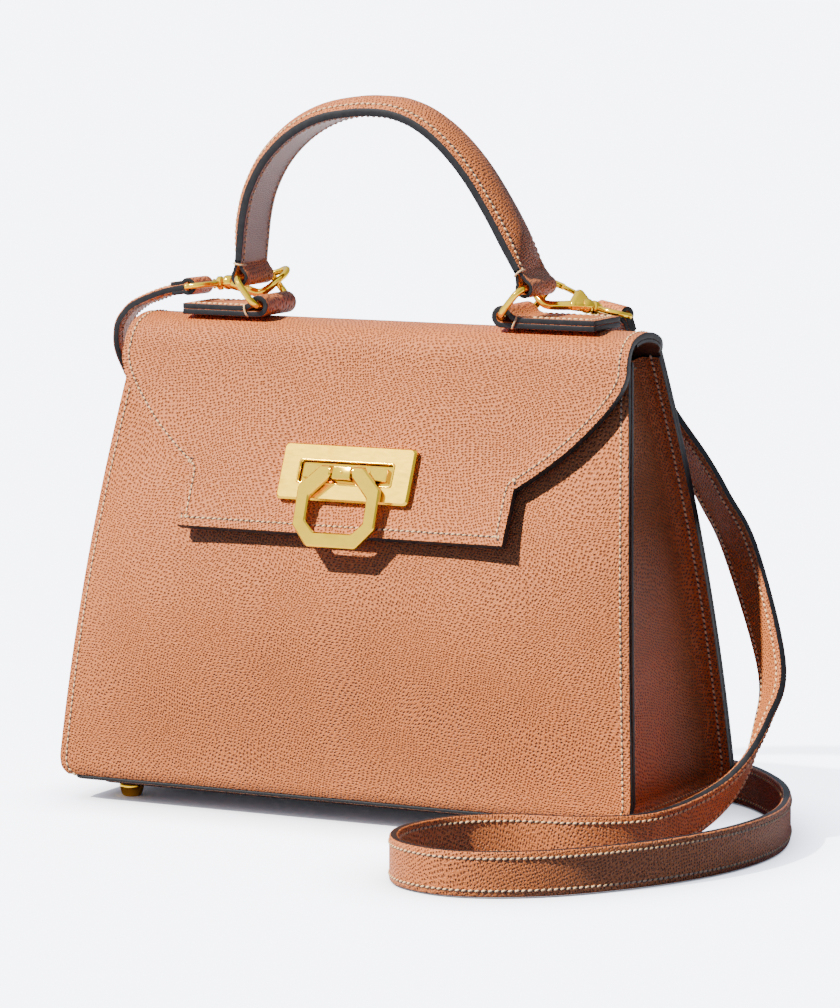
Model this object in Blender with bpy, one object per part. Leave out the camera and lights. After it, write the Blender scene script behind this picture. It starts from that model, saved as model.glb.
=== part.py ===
"""Structured top-handle leather bag with a flap, a ring clasp and a clip-on shoulder strap.

Metres, +Z up. The origin is on the floor under the middle of the bag: +X is the bag's left
as it is worn, to the right for someone facing the front, and the front faces -Y.
"""
import math

import bmesh
import bpy
from mathutils import Matrix, Vector

# Body
BASE_WIDTH = 0.250
BASE_DEPTH = 0.1014
FOOT_HEIGHT = 0.0058
BODY_TOP = 0.183
SIDE_TAPER, SIDE_BOW = 0.01085, 0.00691
FACE_TAPER, FACE_BOW = 0.0168, 0.0182
FRONT_BULGE, BACK_BULGE = 0.0105, 0.0050
BULGE_REACH = 0.164
BULGE_POWER_ACROSS, BULGE_POWER_UP = 4, 1.5
HEM_SHARE = 0.15
MOUTH_DIP = 0.021
MOUTH_START_SHARE, MOUTH_FLAT_SHARE, MOUTH_END_SHARE = 0.70, 0.62, 0.94
BEND_RADIUS = 0.012
HEM_ANGLE = math.radians(60)
BEND_RISE = 0.015
BEND_CENTRE_Z = FOOT_HEIGHT + BEND_RISE
CREST_OVERHANG = 0.0013
CREST_HALF_WIDTH = BASE_WIDTH / 2 - SIDE_TAPER - SIDE_BOW + CREST_OVERHANG
CREST_RISE = 0.0086
WALL_TOP_Y = BASE_DEPTH / 2 - FACE_TAPER - FACE_BOW
CREST_FRONT_REACH, CREST_BACK_REACH = 0.0046, 0.0001
CREST_FRONT_Y, CREST_BACK_Y = -WALL_TOP_Y - CREST_FRONT_REACH, WALL_TOP_Y + CREST_BACK_REACH
CREST_END_ANGLE = math.radians(142)

# Leather, board and lining thicknesses
TOUCH = 0.0003
PANEL = 0.0024
GUSSET = 0.0018
STIFFENER = 0.0016
LINING = 0.0010
CREST_LINING = 0.0012
BOARD = 0.0020
GUSSET_RECESS = 0.009
EDGE_MARGIN = 0.013
POCKET_MARGIN = 0.045
BORE_OVERRUN = 0.02

# Base and feet
BASE_INSET_X, BASE_INSET_Y, BASE_CORNER = 0.004, 0.005, 0.006
FOOT_INSET_X, FOOT_INSET_Y = 0.0228, 0.0200
FOOT_RADIUS, FOOT_SOLE_RADIUS, FOOT_TOP_RADIUS = 0.0050, 0.0034, 0.0047
FOOT_BULGE_Z, FOOT_SOLE_ROUND = 0.0040, 0.0008
STUD_RADIUS, STUD_HOLE_RADIUS, STUD_RISE = 0.0015, 0.0018, 0.0022
WASHER_THICKNESS = 0.0010

# Flap
FLAP_STANDOFF = 0.0051
FLAP_TOP_Z, FLAP_TOP_Y = 0.1843, -WALL_TOP_Y - FLAP_STANDOFF
FLAP_DROP = 0.0714
FLAP_LEAN, FLAP_BOW = 0.0214, 0.0074
FLAP_LEATHER, FLAP_STIFFENER, FLAP_LINING = 0.0020, 0.0010, 0.0009
FLAP_OUTLINE_SHARES = (  # of the flap's drop, of the crest's half width
    (0, 1), (0.053, 1.0065), (0.116, 1.0083), (0.183, 0.9954), (0.256, 0.9696), (0.340, 0.9290),
    (0.424, 0.8802), (0.508, 0.8258), (0.606, 0.7493), (0.707, 0.6581), (0.725, 0.6507),
    (0.859, 0.6488), (1, 0.6479))

# Clasp, in the flap's own tilt at the plate
CLASP_Z = 0.1348
CLASP_STANDOFF = 0.0005
PLATE_WIDTH, PLATE_HEIGHT, PLATE_THICKNESS = 0.057, 0.0228, 0.0026
PLATE_CORNER = 0.0018
WINDOW_WIDTH, WINDOW_HEIGHT, WINDOW_CORNER = 0.040, 0.0086, 0.0010
CLASP_FLOOR, CLASP_STEP = 0.0016, 0.0036
STEP_START, STEP_HALF_HEIGHT = 0.0104, 0.0024
PIN_HEIGHT, PIN_RADIUS, PIN_HALF_LENGTH = 0.0048, 0.0010, 0.0094
KNUCKLE_RADIUS, BORE_RADIUS, KNUCKLE_HALF_WIDTH = 0.0023, 0.0013, 0.0042
POST_INSET = 0.0004
CLASP_RING_LOW, CLASP_RING_HIGH = 0.0044, 0.0071
CLASP_RING_HALF_WIDTH, CLASP_RING_REACH = 0.0177, 0.0302
CLASP_RING_REST = math.radians(4.5)
CLASP_RING_OUTER_SHARES = (  # of the ring's half width, of its reach below the pin
    (0.52, -0.06), (1, 0.22), (1, 0.735), (0.60, 1))
CLASP_RING_INNER_SHARES = ((0.26, -0.06), (0.26, 0.073), (0.70, 0.345), (0.70, 0.67), (0.465, 0.81))
RIVET_SPACING = 0.046
RIVET_RADIUS, RIVET_HOLE_RADIUS = 0.0012, 0.0015
BACK_PLATE_HALF, BACK_PLATE_THICKNESS = (0.0262, 0.0042), 0.0008
MAGNET_RADIUS, MAGNET_HOLE_RADIUS = 0.0075, 0.0078
MAGNET_Z = 0.1205
MAGNET_THICKNESS, KEEPER_THICKNESS = 0.0008, 0.0014
BACK_PLATE_CORNER, BACK_PLATE_CLEARANCE = 0.0020, 0.0008
RIVET_HEAD_RISE, RIVET_BORE_DEPTH = 0.0018, 0.0020

# Tabs, rings and handle
LOOP_X, LOOP_Z = 0.0530, 0.1963
TAB_Y, TAB_WIDTH = -0.0022, 0.024
TAB_BOTTOM_Z, TAB_LAYER = 0.1919, 0.0022
TAB_END_LEFT, TAB_END_RIGHT = -0.0870, 0.0922
LOOP_OUTER, LOOP_BORE = 0.0042, 0.0022
RING_LEAN_X, RING_LEAN_Z = 0.0090, 0.0110
TAB_JOIN = 0.0050
RING_HALF_WIDTH, RING_CORNER, RING_WIRE = 0.0150, 0.0045, 0.00125
HANDLE_WIDTH = 0.022
HANDLE_TOP_Z = 0.2800
HANDLE_LOOP_OUTER, HANDLE_LOOP_BORE = 0.0039, 0.0021
HANDLE_LINING, HANDLE_CORE, HANDLE_COVER = 0.0013, 0.0048, 0.0016
HANDLE_CORE_WIDTH, HANDLE_CORE_END = 0.015, 0.0030
HANDLE_SWELL_POWER, HANDLE_SWELL_RUN = 2.4, 0.016
HANDLE_LINE_SHARES = (  # of the half span and of the rise above the rings, along the lining
    (-0.985, 0.075), (-0.970, 0.200), (-0.950, 0.330), (-0.905, 0.465), (-0.800, 0.620),
    (-0.630, 0.757), (-0.425, 0.845), (-0.200, 0.880), (-0.050, 0.884), (0.080, 0.873),
    (0.235, 0.823), (0.400, 0.722), (0.565, 0.572), (0.720, 0.380), (0.845, 0.200), (0.935, 0.075))

# Snap hooks
CLAW_RADIUS, GATE_RADIUS, EYE_RADIUS = 0.0013, 0.0010, 0.0011
HOOK_SIZE = 0.010
CLAW_BEND_SHARES = (  # of the hook's size, from the middle of the ring's back bar
    (0.65, -0.74, -0.21), (0.25, -0.66, -0.06), (-0.07, -0.50, 0.24), (-0.25, -0.20, 0.48),
    (-0.21, 0.14, 0.66), (0.00, 0.36, 0.68), (0.30, 0.40, 0.56), (0.77, 0.32, 0.42))
GATE_TIP_SHARES = (0.82, 0.30, 0.40)
HOOK_SHARES = {
    "left": dict(neck=(1.90, -0.88, 0.17), root=(1.40, -0.86, 0.04), hinge=(1.50, -0.23, 0.34)),
    "right": dict(neck=(2.00, -0.13, -0.25), root=(1.60, -0.56, -0.20), hinge=(1.60, -0.03, 0.17)),
}
SHOULDER_PROFILE_SHARES = ((0.18, -0.24), (0.23, -0.14), (0.23, 0.14))
POST_PROFILE_SHARES = ((0.11, -0.10), (0.11, 0.50), (0.17, 0.52), (0.17, 0.62))
COLLAR_SHARES = (0.18, 0.45, 0.14, 0.27)
CHEEK_SHARES = (0.13, 0.09, 0.16, 0.06)
GATE_EYE_RADIUS, GATE_EYE_HALF, GATE_BORE = 0.0014, 0.0010, 0.0007
GATE_PIN_RADIUS, GATE_PIN_HALF = 0.0004, 0.0023
EYE_MARGIN = 0.0018
EYE_SHOULDER, EYE_ROUND, EYE_CORNER = 0.0052, 0.0018, 0.0006
EYE_NECK_SHARES = ((0.34, 0.26), (0.48, 0.74))

# Shoulder strap
STRAP_WIDTH, STRAP_THICKNESS = 0.0165, 0.0034
STRAP_FOLD, STRAP_BORE = 0.0037, 0.0016

LEATHER = ("leather", (0.62, 0.30, 0.16), 0.55, 0.0)
LEATHER_LINING = ("leather lining", (0.20, 0.08, 0.045), 0.60, 0.0)
BOARD_LOOK = ("board", (0.25, 0.20, 0.16), 0.80, 0.0)
BRASS = ("brass", (0.86, 0.72, 0.42), 0.25, 1.0)
STEEL = ("magnet steel", (0.55, 0.55, 0.56), 0.35, 1.0)
PADDING = ("padding", (0.75, 0.72, 0.66), 0.90, 0.0)


# Helpers

def material(look):
    name, colour, roughness, metallic = look
    found = bpy.data.materials.get(name)
    if found:
        return found
    made = bpy.data.materials.new(name)
    made.use_nodes = True
    shader = made.node_tree.nodes["Principled BSDF"]
    shader.inputs["Base Color"].default_value = (*colour, 1.0)
    shader.inputs["Roughness"].default_value = roughness
    shader.inputs["Metallic"].default_value = metallic
    made.diffuse_color = (*colour, 1.0)
    return made


def add_object(name, verts, faces, look, origin=(0, 0, 0), smooth=True):
    """Make a closed mesh object from world points, with its origin at `origin`."""
    origin = Vector(origin)
    mesh = bpy.data.meshes.new(name)
    mesh.from_pydata([Vector(v) - origin for v in verts], [], faces)
    work = bmesh.new()
    work.from_mesh(mesh)
    bmesh.ops.recalc_face_normals(work, faces=work.faces)
    if work.calc_volume(signed=True) < 0:
        bmesh.ops.reverse_faces(work, faces=work.faces)
    work.to_mesh(mesh)
    work.free()
    mesh.materials.append(material(look))
    if smooth:
        mesh.shade_smooth()
        mesh.set_sharp_from_angle(angle=math.radians(35))
    made = bpy.data.objects.new(name, mesh)
    made.location = origin
    bpy.context.scene.collection.objects.link(made)
    return made


def slab(name, outer, inner, look, origin=(0, 0, 0)):
    """Close two grids of points, the same rows and columns, into one solid sheet."""
    rows, cols = len(outer), len(outer[0])
    count = rows * cols
    verts = [p for row in outer for p in row] + [p for row in inner for p in row]
    faces = []
    for r in range(rows - 1):
        for c in range(cols - 1):
            a, b = r * cols + c, (r + 1) * cols + c
            faces.append((a, a + 1, b + 1, b))
            faces.append((count + a, count + b, count + b + 1, count + a + 1))
    rim = [c for c in range(cols)] + [r * cols + cols - 1 for r in range(1, rows)]
    rim += [(rows - 1) * cols + c for c in range(cols - 2, -1, -1)]
    rim += [r * cols for r in range(rows - 2, 0, -1)]
    for i, a in enumerate(rim):
        b = rim[(i + 1) % len(rim)]
        faces.append((a, b, count + b, count + a))
    return add_object(name, verts, faces, look, origin)


def prism(name, outline, frame, low, high, look, origin=(0, 0, 0)):
    """Extrude a flat outline, given in the frame's first two axes, along its third axis."""
    count = len(outline)
    verts = [frame @ Vector((x, y, low)) for x, y in outline]
    verts += [frame @ Vector((x, y, high)) for x, y in outline]
    faces = [tuple(range(count - 1, -1, -1)), tuple(range(count, 2 * count))]
    faces += [(i, (i + 1) % count, count + (i + 1) % count, count + i) for i in range(count)]
    return add_object(name, verts, faces, look, origin)


def frame_prism(name, outer, inner, frame, low, high, look, origin=(0, 0, 0)):
    """Extrude a flat frame: an outer outline and a window outline with as many points."""
    count = len(outer)
    rings = [(outer, low), (outer, high), (inner, high), (inner, low)]
    verts = [frame @ Vector((x, y, level)) for points, level in rings for x, y in points]
    faces = []
    for k in range(4):
        for i in range(count):
            j = (i + 1) % count
            a, b = k * count, ((k + 1) % 4) * count
            faces.append((a + i, a + j, b + j, b + i))
    return add_object(name, verts, faces, look, origin)


def tube(name, path, radius, sides, look, closed=False, origin=(0, 0, 0)):
    """Sweep a round section along points, keeping its twist as low as it can."""
    path = [Vector(p) for p in path]
    count = len(path)
    verts, faces = [], []
    side = None
    for i, here in enumerate(path):
        ahead = path[(i + 1) % count] if closed or i < count - 1 else here
        behind = path[i - 1] if closed or i > 0 else here
        along = (ahead - behind).normalized()
        if side is None:
            side = along.orthogonal()
        side = (side - along * side.dot(along)).normalized()
        up = along.cross(side)
        for k in range(sides):
            turn = 2 * math.pi * k / sides
            verts.append(here + (side * math.cos(turn) + up * math.sin(turn)) * radius)
    shift = 0
    if closed:
        first = [verts[k] for k in range(sides)]
        last = verts[(count - 1) * sides]
        shift = min(range(sides), key=lambda k: (first[k] - last).length)
    for i in range(count if closed else count - 1):
        wrap = closed and i == count - 1
        for k in range(sides):
            a, b = i * sides + k, i * sides + (k + 1) % sides
            nxt = ((i + 1) % count) * sides
            c = nxt + (k + 1 + (shift if wrap else 0)) % sides
            d = nxt + (k + (shift if wrap else 0)) % sides
            faces.append((a, b, c, d))
    if not closed:
        faces.append(tuple(range(sides - 1, -1, -1)))
        faces.append(tuple(range((count - 1) * sides, count * sides)))
    return add_object(name, verts, faces, look, origin)


def turned(name, profile, sides, frame, look, origin=(0, 0, 0)):
    """Turn a profile of (radius, height) round the frame's third axis and cap it."""
    verts, faces = [], []
    for radius, height in profile:
        for k in range(sides):
            turn = 2 * math.pi * k / sides
            verts.append(frame @ Vector((radius * math.cos(turn), radius * math.sin(turn), height)))
    for i in range(len(profile) - 1):
        for k in range(sides):
            a, b = i * sides + k, i * sides + (k + 1) % sides
            faces.append((a, b, b + sides, a + sides))
    faces.append(tuple(range(sides - 1, -1, -1)))
    faces.append(tuple(range((len(profile) - 1) * sides, len(profile) * sides)))
    return add_object(name, verts, faces, look, origin)


def combine(target, others, operation):
    """Join or cut the target with other solids, which are used up."""
    for other in others:
        step = target.modifiers.new(operation.lower(), "BOOLEAN")
        step.operation = operation
        step.solver = "EXACT"
        step.object = other
    result = bpy.data.meshes.new_from_object(
        target.evaluated_get(bpy.context.evaluated_depsgraph_get()))
    target.modifiers.clear()
    look = target.data.materials[0]
    target.data = result
    result.materials.clear()
    result.materials.append(look)
    for polygon in result.polygons:
        polygon.material_index = 0
    for other in others:
        bpy.data.objects.remove(other)
    return target


def smooth_path(points, steps):
    """Catmull-Rom curve through hand-set points."""
    points = [Vector(p) for p in points]
    ends = [2 * points[0] - points[1]] + points + [2 * points[-1] - points[-2]]
    curve = []
    for i in range(1, len(ends) - 2):
        a, b, c, d = ends[i - 1], ends[i], ends[i + 1], ends[i + 2]
        for k in range(steps):
            t = k / steps
            curve.append(0.5 * (2 * b + (c - a) * t + (2 * a - 5 * b + 4 * c - d) * t ** 2
                                + (3 * b - a - 3 * c + d) * t ** 3))
    curve.append(points[-1])
    return curve


def spread(low, high, count):
    return [low + (high - low) * i / (count - 1) for i in range(count)]


def rounded_box(half_x, half_y, corner, steps=4):
    """Outline of a rectangle with round corners, from the +X +Y corner anticlockwise."""
    outline = []
    for quarter, (sx, sy) in enumerate(((1, 1), (-1, 1), (-1, -1), (1, -1))):
        for k in range(steps + 1):
            turn = math.pi / 2 * (quarter + k / steps)
            outline.append((sx * (half_x - corner) + corner * math.cos(turn),
                            sy * (half_y - corner) + corner * math.sin(turn)))
    return outline


def axes(origin, first, second, third):
    """A frame from an origin and three axis directions."""
    turn = Matrix((first, second, third)).transposed().to_4x4()
    return Matrix.Translation(origin) @ turn


# Walls of the body

def half_width(z):
    rise = max(z - FOOT_HEIGHT, 0) / (BODY_TOP - FOOT_HEIGHT)
    return BASE_WIDTH / 2 - SIDE_TAPER * rise - SIDE_BOW * rise * rise


def half_depth(z):
    rise = max(z - FOOT_HEIGHT, 0) / (BODY_TOP - FOOT_HEIGHT)
    return BASE_DEPTH / 2 - FACE_TAPER * rise - FACE_BOW * rise * rise


def bulge(u, z, amount):
    """How far a stuffed wall swells outwards, `u` running -1 to 1 across it."""
    t = min(max((z - BEND_CENTRE_Z) / (BULGE_REACH - BEND_CENTRE_Z), 0), 1)
    return amount * (1 - abs(u) ** BULGE_POWER_ACROSS) * math.sin(math.pi * t) ** BULGE_POWER_UP


def mouth_dip(u, s):
    """How far the front wall's rows are lowered, so that its top edge leaves a mouth."""
    up = max(s - MOUTH_START_SHARE, 0) / (1 - MOUTH_START_SHARE)
    t = (MOUTH_END_SHARE - abs(u)) / (MOUTH_END_SHARE - MOUTH_FLAT_SHARE)
    t = min(max(t, 0), 1)
    return MOUTH_DIP * up * t * t * (3 - 2 * t)


def wall_surface(u, s, side):
    """Outer face of the front (side -1) or back (side 1) wall, `s` 0 at the hem to 1 on top.

    The back wall goes on past 1, over the crest of the bag, to the flap's hinge at 2.
    """
    amount = FRONT_BULGE if side < 0 else BACK_BULGE
    if s < HEM_SHARE:
        angle = HEM_ANGLE * (1 - s / HEM_SHARE)
        y = half_depth(BEND_CENTRE_Z) - BEND_RADIUS * (1 - math.cos(angle))
        z = BEND_CENTRE_Z - BEND_RADIUS * math.sin(angle)
        return Vector((u * half_width(z), side * y, z))
    if s <= 1:
        z = BEND_CENTRE_Z + (BODY_TOP - BEND_CENTRE_Z) * (s - HEM_SHARE) / (1 - HEM_SHARE)
        if side < 0:
            z -= mouth_dip(u, s)
        return Vector((u * half_width(z), side * (half_depth(z) + bulge(u, z, amount)), z))
    angle = CREST_END_ANGLE * (s - 1)
    y = (CREST_FRONT_Y + CREST_BACK_Y) / 2 + (CREST_BACK_Y - CREST_FRONT_Y) / 2 * math.cos(angle)
    z = BODY_TOP + CREST_RISE * math.sin(angle)
    width = half_width(BODY_TOP) + (CREST_HALF_WIDTH - half_width(BODY_TOP)) * min(4 * (s - 1), 1)
    return Vector((u * width, y, z))


def wall_point(u, s, side, depth):
    """A point `depth` inside the wall's outer face, square to it."""
    step_share = 0.01
    across = wall_surface(u + step_share, s, side) - wall_surface(u - step_share, s, side)
    up = (wall_surface(u, s + step_share / 2, side)
          - wall_surface(u, max(s - step_share / 2, 0), side))
    inward = across.cross(up).normalized() * side
    return wall_surface(u, s, side) + inward * depth


ACROSS = spread(-1, 1, 15)


def wall_slab(name, side, heights, low, high, look, margin=0):
    """A layer of the wall from depth `low` to `high`, `margin` in from the side edges."""
    columns = [u for u in ACROSS if abs(u) < 1 - 2 * margin / BASE_WIDTH or not margin]
    grids = []
    for depth in (low, high):
        grids.append([[wall_point(u, s, side, depth) for u in columns] for s in heights])
    return slab(name, grids[0], grids[1], look)


def make_walls():
    bend = spread(0, HEM_SHARE, 5)
    face = spread(HEM_SHARE, 1, 11)
    crest = spread(1, 2, 11)
    wall_slab("front_panel", -1, bend[:-1] + face, 0, PANEL, LEATHER)
    wall_slab("back_panel", 1, bend[:-1] + face + crest[1:], 0, PANEL, LEATHER)
    behind = PANEL + TOUCH
    wall_slab("front_stiffener", -1, face[1:-1], behind, behind + STIFFENER, BOARD_LOOK,
              EDGE_MARGIN)
    wall_slab("back_stiffener", 1, face[1:-1], behind, behind + STIFFENER, BOARD_LOOK,
              EDGE_MARGIN)
    wall_slab("crest_lining", 1, crest, behind, behind + CREST_LINING, LEATHER_LINING)
    behind += STIFFENER + TOUCH
    wall_slab("front_lining", -1, face, behind, behind + LINING, LEATHER_LINING, EDGE_MARGIN)
    wall_slab("back_lining", 1, face[:-1], behind, behind + LINING, LEATHER_LINING, EDGE_MARGIN)
    behind += LINING + TOUCH
    wall_slab("inner_pocket", 1, face[3:9], behind, behind + LINING, LEATHER_LINING, POCKET_MARGIN)


def gusset_edge(depth):
    """Front edge of the gusset, top to bottom, as (y, z), `depth` inside the front wall."""
    points = []
    for s in spread(0.995, HEM_SHARE, 9):
        p = wall_point(1, s, -1, depth)
        points.append((p.y, p.z))
    radius = BEND_RADIUS - depth
    centre = -half_depth(BEND_CENTRE_Z) + BEND_RADIUS
    for k in range(1, 5):
        angle = math.pi / 2 * k / 4
        points.append((centre - radius * math.cos(angle), BEND_CENTRE_Z - radius * math.sin(angle)))
    return points


def make_gusset(name, side):
    """Side wall set in from the edges, its flange turned out against the front and back."""
    columns = 7
    layers = []
    depth = PANEL + TOUCH
    for inner in (False, True):
        edge = gusset_edge(depth + (0 if inner else GUSSET))
        web = []
        for y, z in edge:
            x = half_width(z) - GUSSET_RECESS - (GUSSET if inner else 0)
            web.append([Vector((side * x, y * (1 - 2 * c / (columns - 1)), z))
                        for c in range(columns)])
        rim = [(y, z) for y, z in edge] + [(edge[-1][0] * (1 - 2 * c / (columns - 1)), edge[-1][1])
                                           for c in range(1, columns - 1)]
        rim += [(-y, z) for y, z in reversed(edge)]
        tips = [Vector((side * half_width(z), y, z)) for y, z in rim]
        layers.append((web, tips))
    rows = len(layers[0][0])
    verts, faces, starts = [], [], []
    for web, tips in layers:
        start = len(verts)
        starts.append(start)
        verts += [p for row in web for p in row] + tips
        for r in range(rows - 1):
            for c in range(columns - 1):
                a = start + r * columns + c
                faces.append((a, a + 1, a + 1 + columns, a + columns))
    path = [r * columns for r in range(rows)]
    path += [(rows - 1) * columns + c for c in range(1, columns)]
    path += [r * columns + columns - 1 for r in range(rows - 2, -1, -1)]
    tip = rows * columns
    for start in starts:
        for i in range(len(path) - 1):
            a, b = start + path[i], start + path[i + 1]
            c, d = start + tip + i + 1, start + tip + i
            faces.append((a, b, c, d))
    one, two = starts
    for i in range(len(path) - 1):
        faces.append((one + tip + i, one + tip + i + 1, two + tip + i + 1, two + tip + i))
    for c in range(columns - 1):
        faces.append((one + c, one + c + 1, two + c + 1, two + c))
    last = len(path) - 1
    faces.append((one, two, two + tip, one + tip))
    faces.append((one + columns - 1, one + tip + last, two + tip + last, two + columns - 1))
    return add_object(name, verts, faces, LEATHER)


def make_gusset_lining(name, side):
    """Flat lining on the inner face of the gusset."""
    grids = []
    inset = PANEL + TOUCH + GUSSET + STIFFENER + LINING + 4 * TOUCH
    for layer in (0, LINING):
        grid = []
        for s in spread(0.97, 0.18, 8):
            p = wall_point(1, s, -1, inset)
            x = half_width(p.z) - GUSSET_RECESS - GUSSET - TOUCH - layer
            grid.append([Vector((side * x, p.y * (1 - c), p.z)) for c in (0, 0.5, 1, 1.5, 2)])
        grids.append(grid)
    return slab(name, grids[0], grids[1], LEATHER_LINING)


def make_base():
    outline = rounded_box(BASE_WIDTH / 2 - BASE_INSET_X, BASE_DEPTH / 2 - BASE_INSET_Y, BASE_CORNER)
    flat = Matrix()
    low = FOOT_HEIGHT
    sole = prism("base_panel", outline, flat, low, low + BOARD, LEATHER)
    low += BOARD + TOUCH
    board = prism("base_board", outline, flat, low, low + BOARD, BOARD_LOOK)
    low += BOARD + TOUCH
    feet = [(sx * (BASE_WIDTH / 2 - FOOT_INSET_X), sy * (BASE_DEPTH / 2 - FOOT_INSET_Y))
            for sx in (-1, 1) for sy in (-1, 1)]
    names = ("front_left", "back_left", "front_right", "back_right")
    for plate in (sole, board):
        bore = [(STUD_HOLE_RADIUS, 0), (STUD_HOLE_RADIUS, BORE_OVERRUN)]
        holes = [turned("hole", bore, 12, Matrix.Translation((x, y, 0)), BRASS) for x, y in feet]
        combine(plate, holes, "DIFFERENCE")
    foot_top = FOOT_HEIGHT - TOUCH
    stud = [(FOOT_SOLE_RADIUS, 0), (FOOT_SOLE_RADIUS + FOOT_SOLE_ROUND, FOOT_SOLE_ROUND),
            (FOOT_RADIUS, FOOT_BULGE_Z), (FOOT_TOP_RADIUS, foot_top), (STUD_RADIUS, foot_top),
            (STUD_RADIUS, low + STUD_RISE)]
    circle = [(math.cos(k * math.pi / 8), math.sin(k * math.pi / 8)) for k in range(16)]
    ring_out = [(FOOT_RADIUS * x, FOOT_RADIUS * y) for x, y in circle]
    ring_in = [(STUD_HOLE_RADIUS * x, STUD_HOLE_RADIUS * y) for x, y in circle]
    for label, (x, y) in zip(names, feet):
        at = Matrix.Translation((x, y, 0))
        turned("foot_" + label, stud, 16, at, BRASS)
        frame_prism("washer_" + label, ring_out, ring_in, at, low, low + WASHER_THICKNESS, STEEL)


# Flap and clasp

def flap_surface(u, z):
    """Outer face of the flap, `u` running -1 to 1 between its edges."""
    share = (FLAP_TOP_Z - z) / FLAP_DROP
    y = FLAP_TOP_Y - FLAP_LEAN * share - FLAP_BOW * share * share
    for (s1, w1), (s2, w2) in zip(FLAP_OUTLINE_SHARES, FLAP_OUTLINE_SHARES[1:]):
        if s1 - 1e-6 <= share <= s2 + 1e-6:
            width = CREST_HALF_WIDTH * (w1 + (w2 - w1) * (share - s1) / (s2 - s1))
    return Vector((u * width, y, z))


def flap_normal(z):
    share = (FLAP_TOP_Z - z) / FLAP_DROP
    return Vector((0, -FLAP_DROP, FLAP_LEAN + 2 * FLAP_BOW * share)).normalized()


FLAP_THICKNESS = FLAP_LEATHER + FLAP_STIFFENER + FLAP_LINING + 2 * TOUCH
HINGE = (flap_surface(0, FLAP_TOP_Z) - flap_normal(FLAP_TOP_Z) * FLAP_THICKNESS / 2)


def flap_slab(name, low, high, look, columns=11):
    heights = [FLAP_TOP_Z - share * FLAP_DROP for share, _ in FLAP_OUTLINE_SHARES]
    grids = []
    for depth in (low, high):
        grids.append([[flap_surface(2 * c / (columns - 1) - 1, z) - flap_normal(z) * depth
                       for c in range(columns)] for z in heights])
    return slab(name, grids[0], grids[1], look, HINGE)


def clasp_frame():
    """Frame on the flap's face: X across, Y up the flap, Z out of it."""
    out = flap_normal(CLASP_Z)
    return axes(flap_surface(0, CLASP_Z), Vector((1, 0, 0)), out.cross(Vector((1, 0, 0))), out)


def magnet_frame(point, out):
    across = Vector((1, 0, 0))
    return axes(point, across, out.cross(across), out)


def make_flap():
    leather = flap_slab("flap_leather", 0, FLAP_LEATHER, LEATHER)
    low = FLAP_LEATHER + TOUCH
    stiffener = flap_slab("flap_stiffener", low, low + FLAP_STIFFENER, BOARD_LOOK)
    lining_low = low + FLAP_STIFFENER + TOUCH
    lining = flap_slab("flap_lining", lining_low, lining_low + FLAP_LINING, LEATHER_LINING)

    frame = clasp_frame()
    back = -(low + BACK_PLATE_THICKNESS)
    half_x, half_y = BACK_PLATE_HALF
    back_plate = prism("lock_back_plate", rounded_box(half_x, half_y, BACK_PLATE_CORNER), frame,
                       back, -low, STEEL, HINGE)
    outline = rounded_box(half_x + BACK_PLATE_CLEARANCE, half_y + BACK_PLATE_CLEARANCE,
                          BACK_PLATE_CORNER)
    opening = prism("opening", outline, frame, back - BORE_OVERRUN / 2, BORE_OVERRUN / 2, STEEL)
    combine(stiffener, [opening], "DIFFERENCE")
    for sheet in (leather, back_plate):
        holes = []
        for side in (-1, 1):
            at = frame @ Matrix.Translation((side * RIVET_SPACING / 2, 0, 0))
            bore = [(RIVET_HOLE_RADIUS, -BORE_OVERRUN / 2), (RIVET_HOLE_RADIUS, BORE_OVERRUN / 4)]
            holes.append(turned("hole", bore, 10, at, BRASS))
        combine(sheet, holes, "DIFFERENCE")

    magnet_at = magnet_frame(flap_surface(0, MAGNET_Z), flap_normal(MAGNET_Z))
    pocket = [(MAGNET_HOLE_RADIUS, -BORE_OVERRUN), (MAGNET_HOLE_RADIUS, BORE_OVERRUN / 2)]
    combine(stiffener, [turned("pocket", pocket, 20, magnet_at, BRASS)], "DIFFERENCE")
    magnet_low = -(low + FLAP_STIFFENER / 2 + MAGNET_THICKNESS / 2)
    turned("flap_magnet", [(MAGNET_RADIUS, magnet_low), (MAGNET_RADIUS, magnet_low + MAGNET_THICKNESS)],
           16, magnet_at, STEEL, HINGE)
    return frame


def make_keeper():
    """Steel disc in the front stiffener that the flap's magnet pulls to."""
    share = (MAGNET_Z - BEND_CENTRE_Z) / (BODY_TOP - BEND_CENTRE_Z)
    s = HEM_SHARE + (1 - HEM_SHARE) * share
    surface = wall_point(0, s, -1, 0)
    out = (surface - wall_point(0, s, -1, PANEL)).normalized()
    frame = magnet_frame(surface, out)
    pocket = turned("pocket", [(MAGNET_HOLE_RADIUS, -BORE_OVERRUN),
                               (MAGNET_HOLE_RADIUS, BORE_OVERRUN / 2)], 20, frame, BRASS)
    combine(bpy.data.objects["front_stiffener"], [pocket], "DIFFERENCE")
    low = -(PANEL + TOUCH + STIFFENER / 2 + KEEPER_THICKNESS / 2)
    turned("keeper_plate", [(MAGNET_RADIUS, low), (MAGNET_RADIUS, low + KEEPER_THICKNESS)], 16, frame,
           STEEL)


def clasp_ring_outline():
    """Eight-sided ring, open at the top between its two eyes, in the clasp's frame."""
    outer = [(CLASP_RING_HALF_WIDTH * x, -CLASP_RING_REACH * y) for x, y in CLASP_RING_OUTER_SHARES]
    inner = [(CLASP_RING_HALF_WIDTH * x, -CLASP_RING_REACH * y) for x, y in CLASP_RING_INNER_SHARES]
    left_outer = [(-x, y) for x, y in outer]
    left_inner = [(-x, y) for x, y in reversed(inner)]
    return left_outer + outer[::-1] + inner + left_inner


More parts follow.
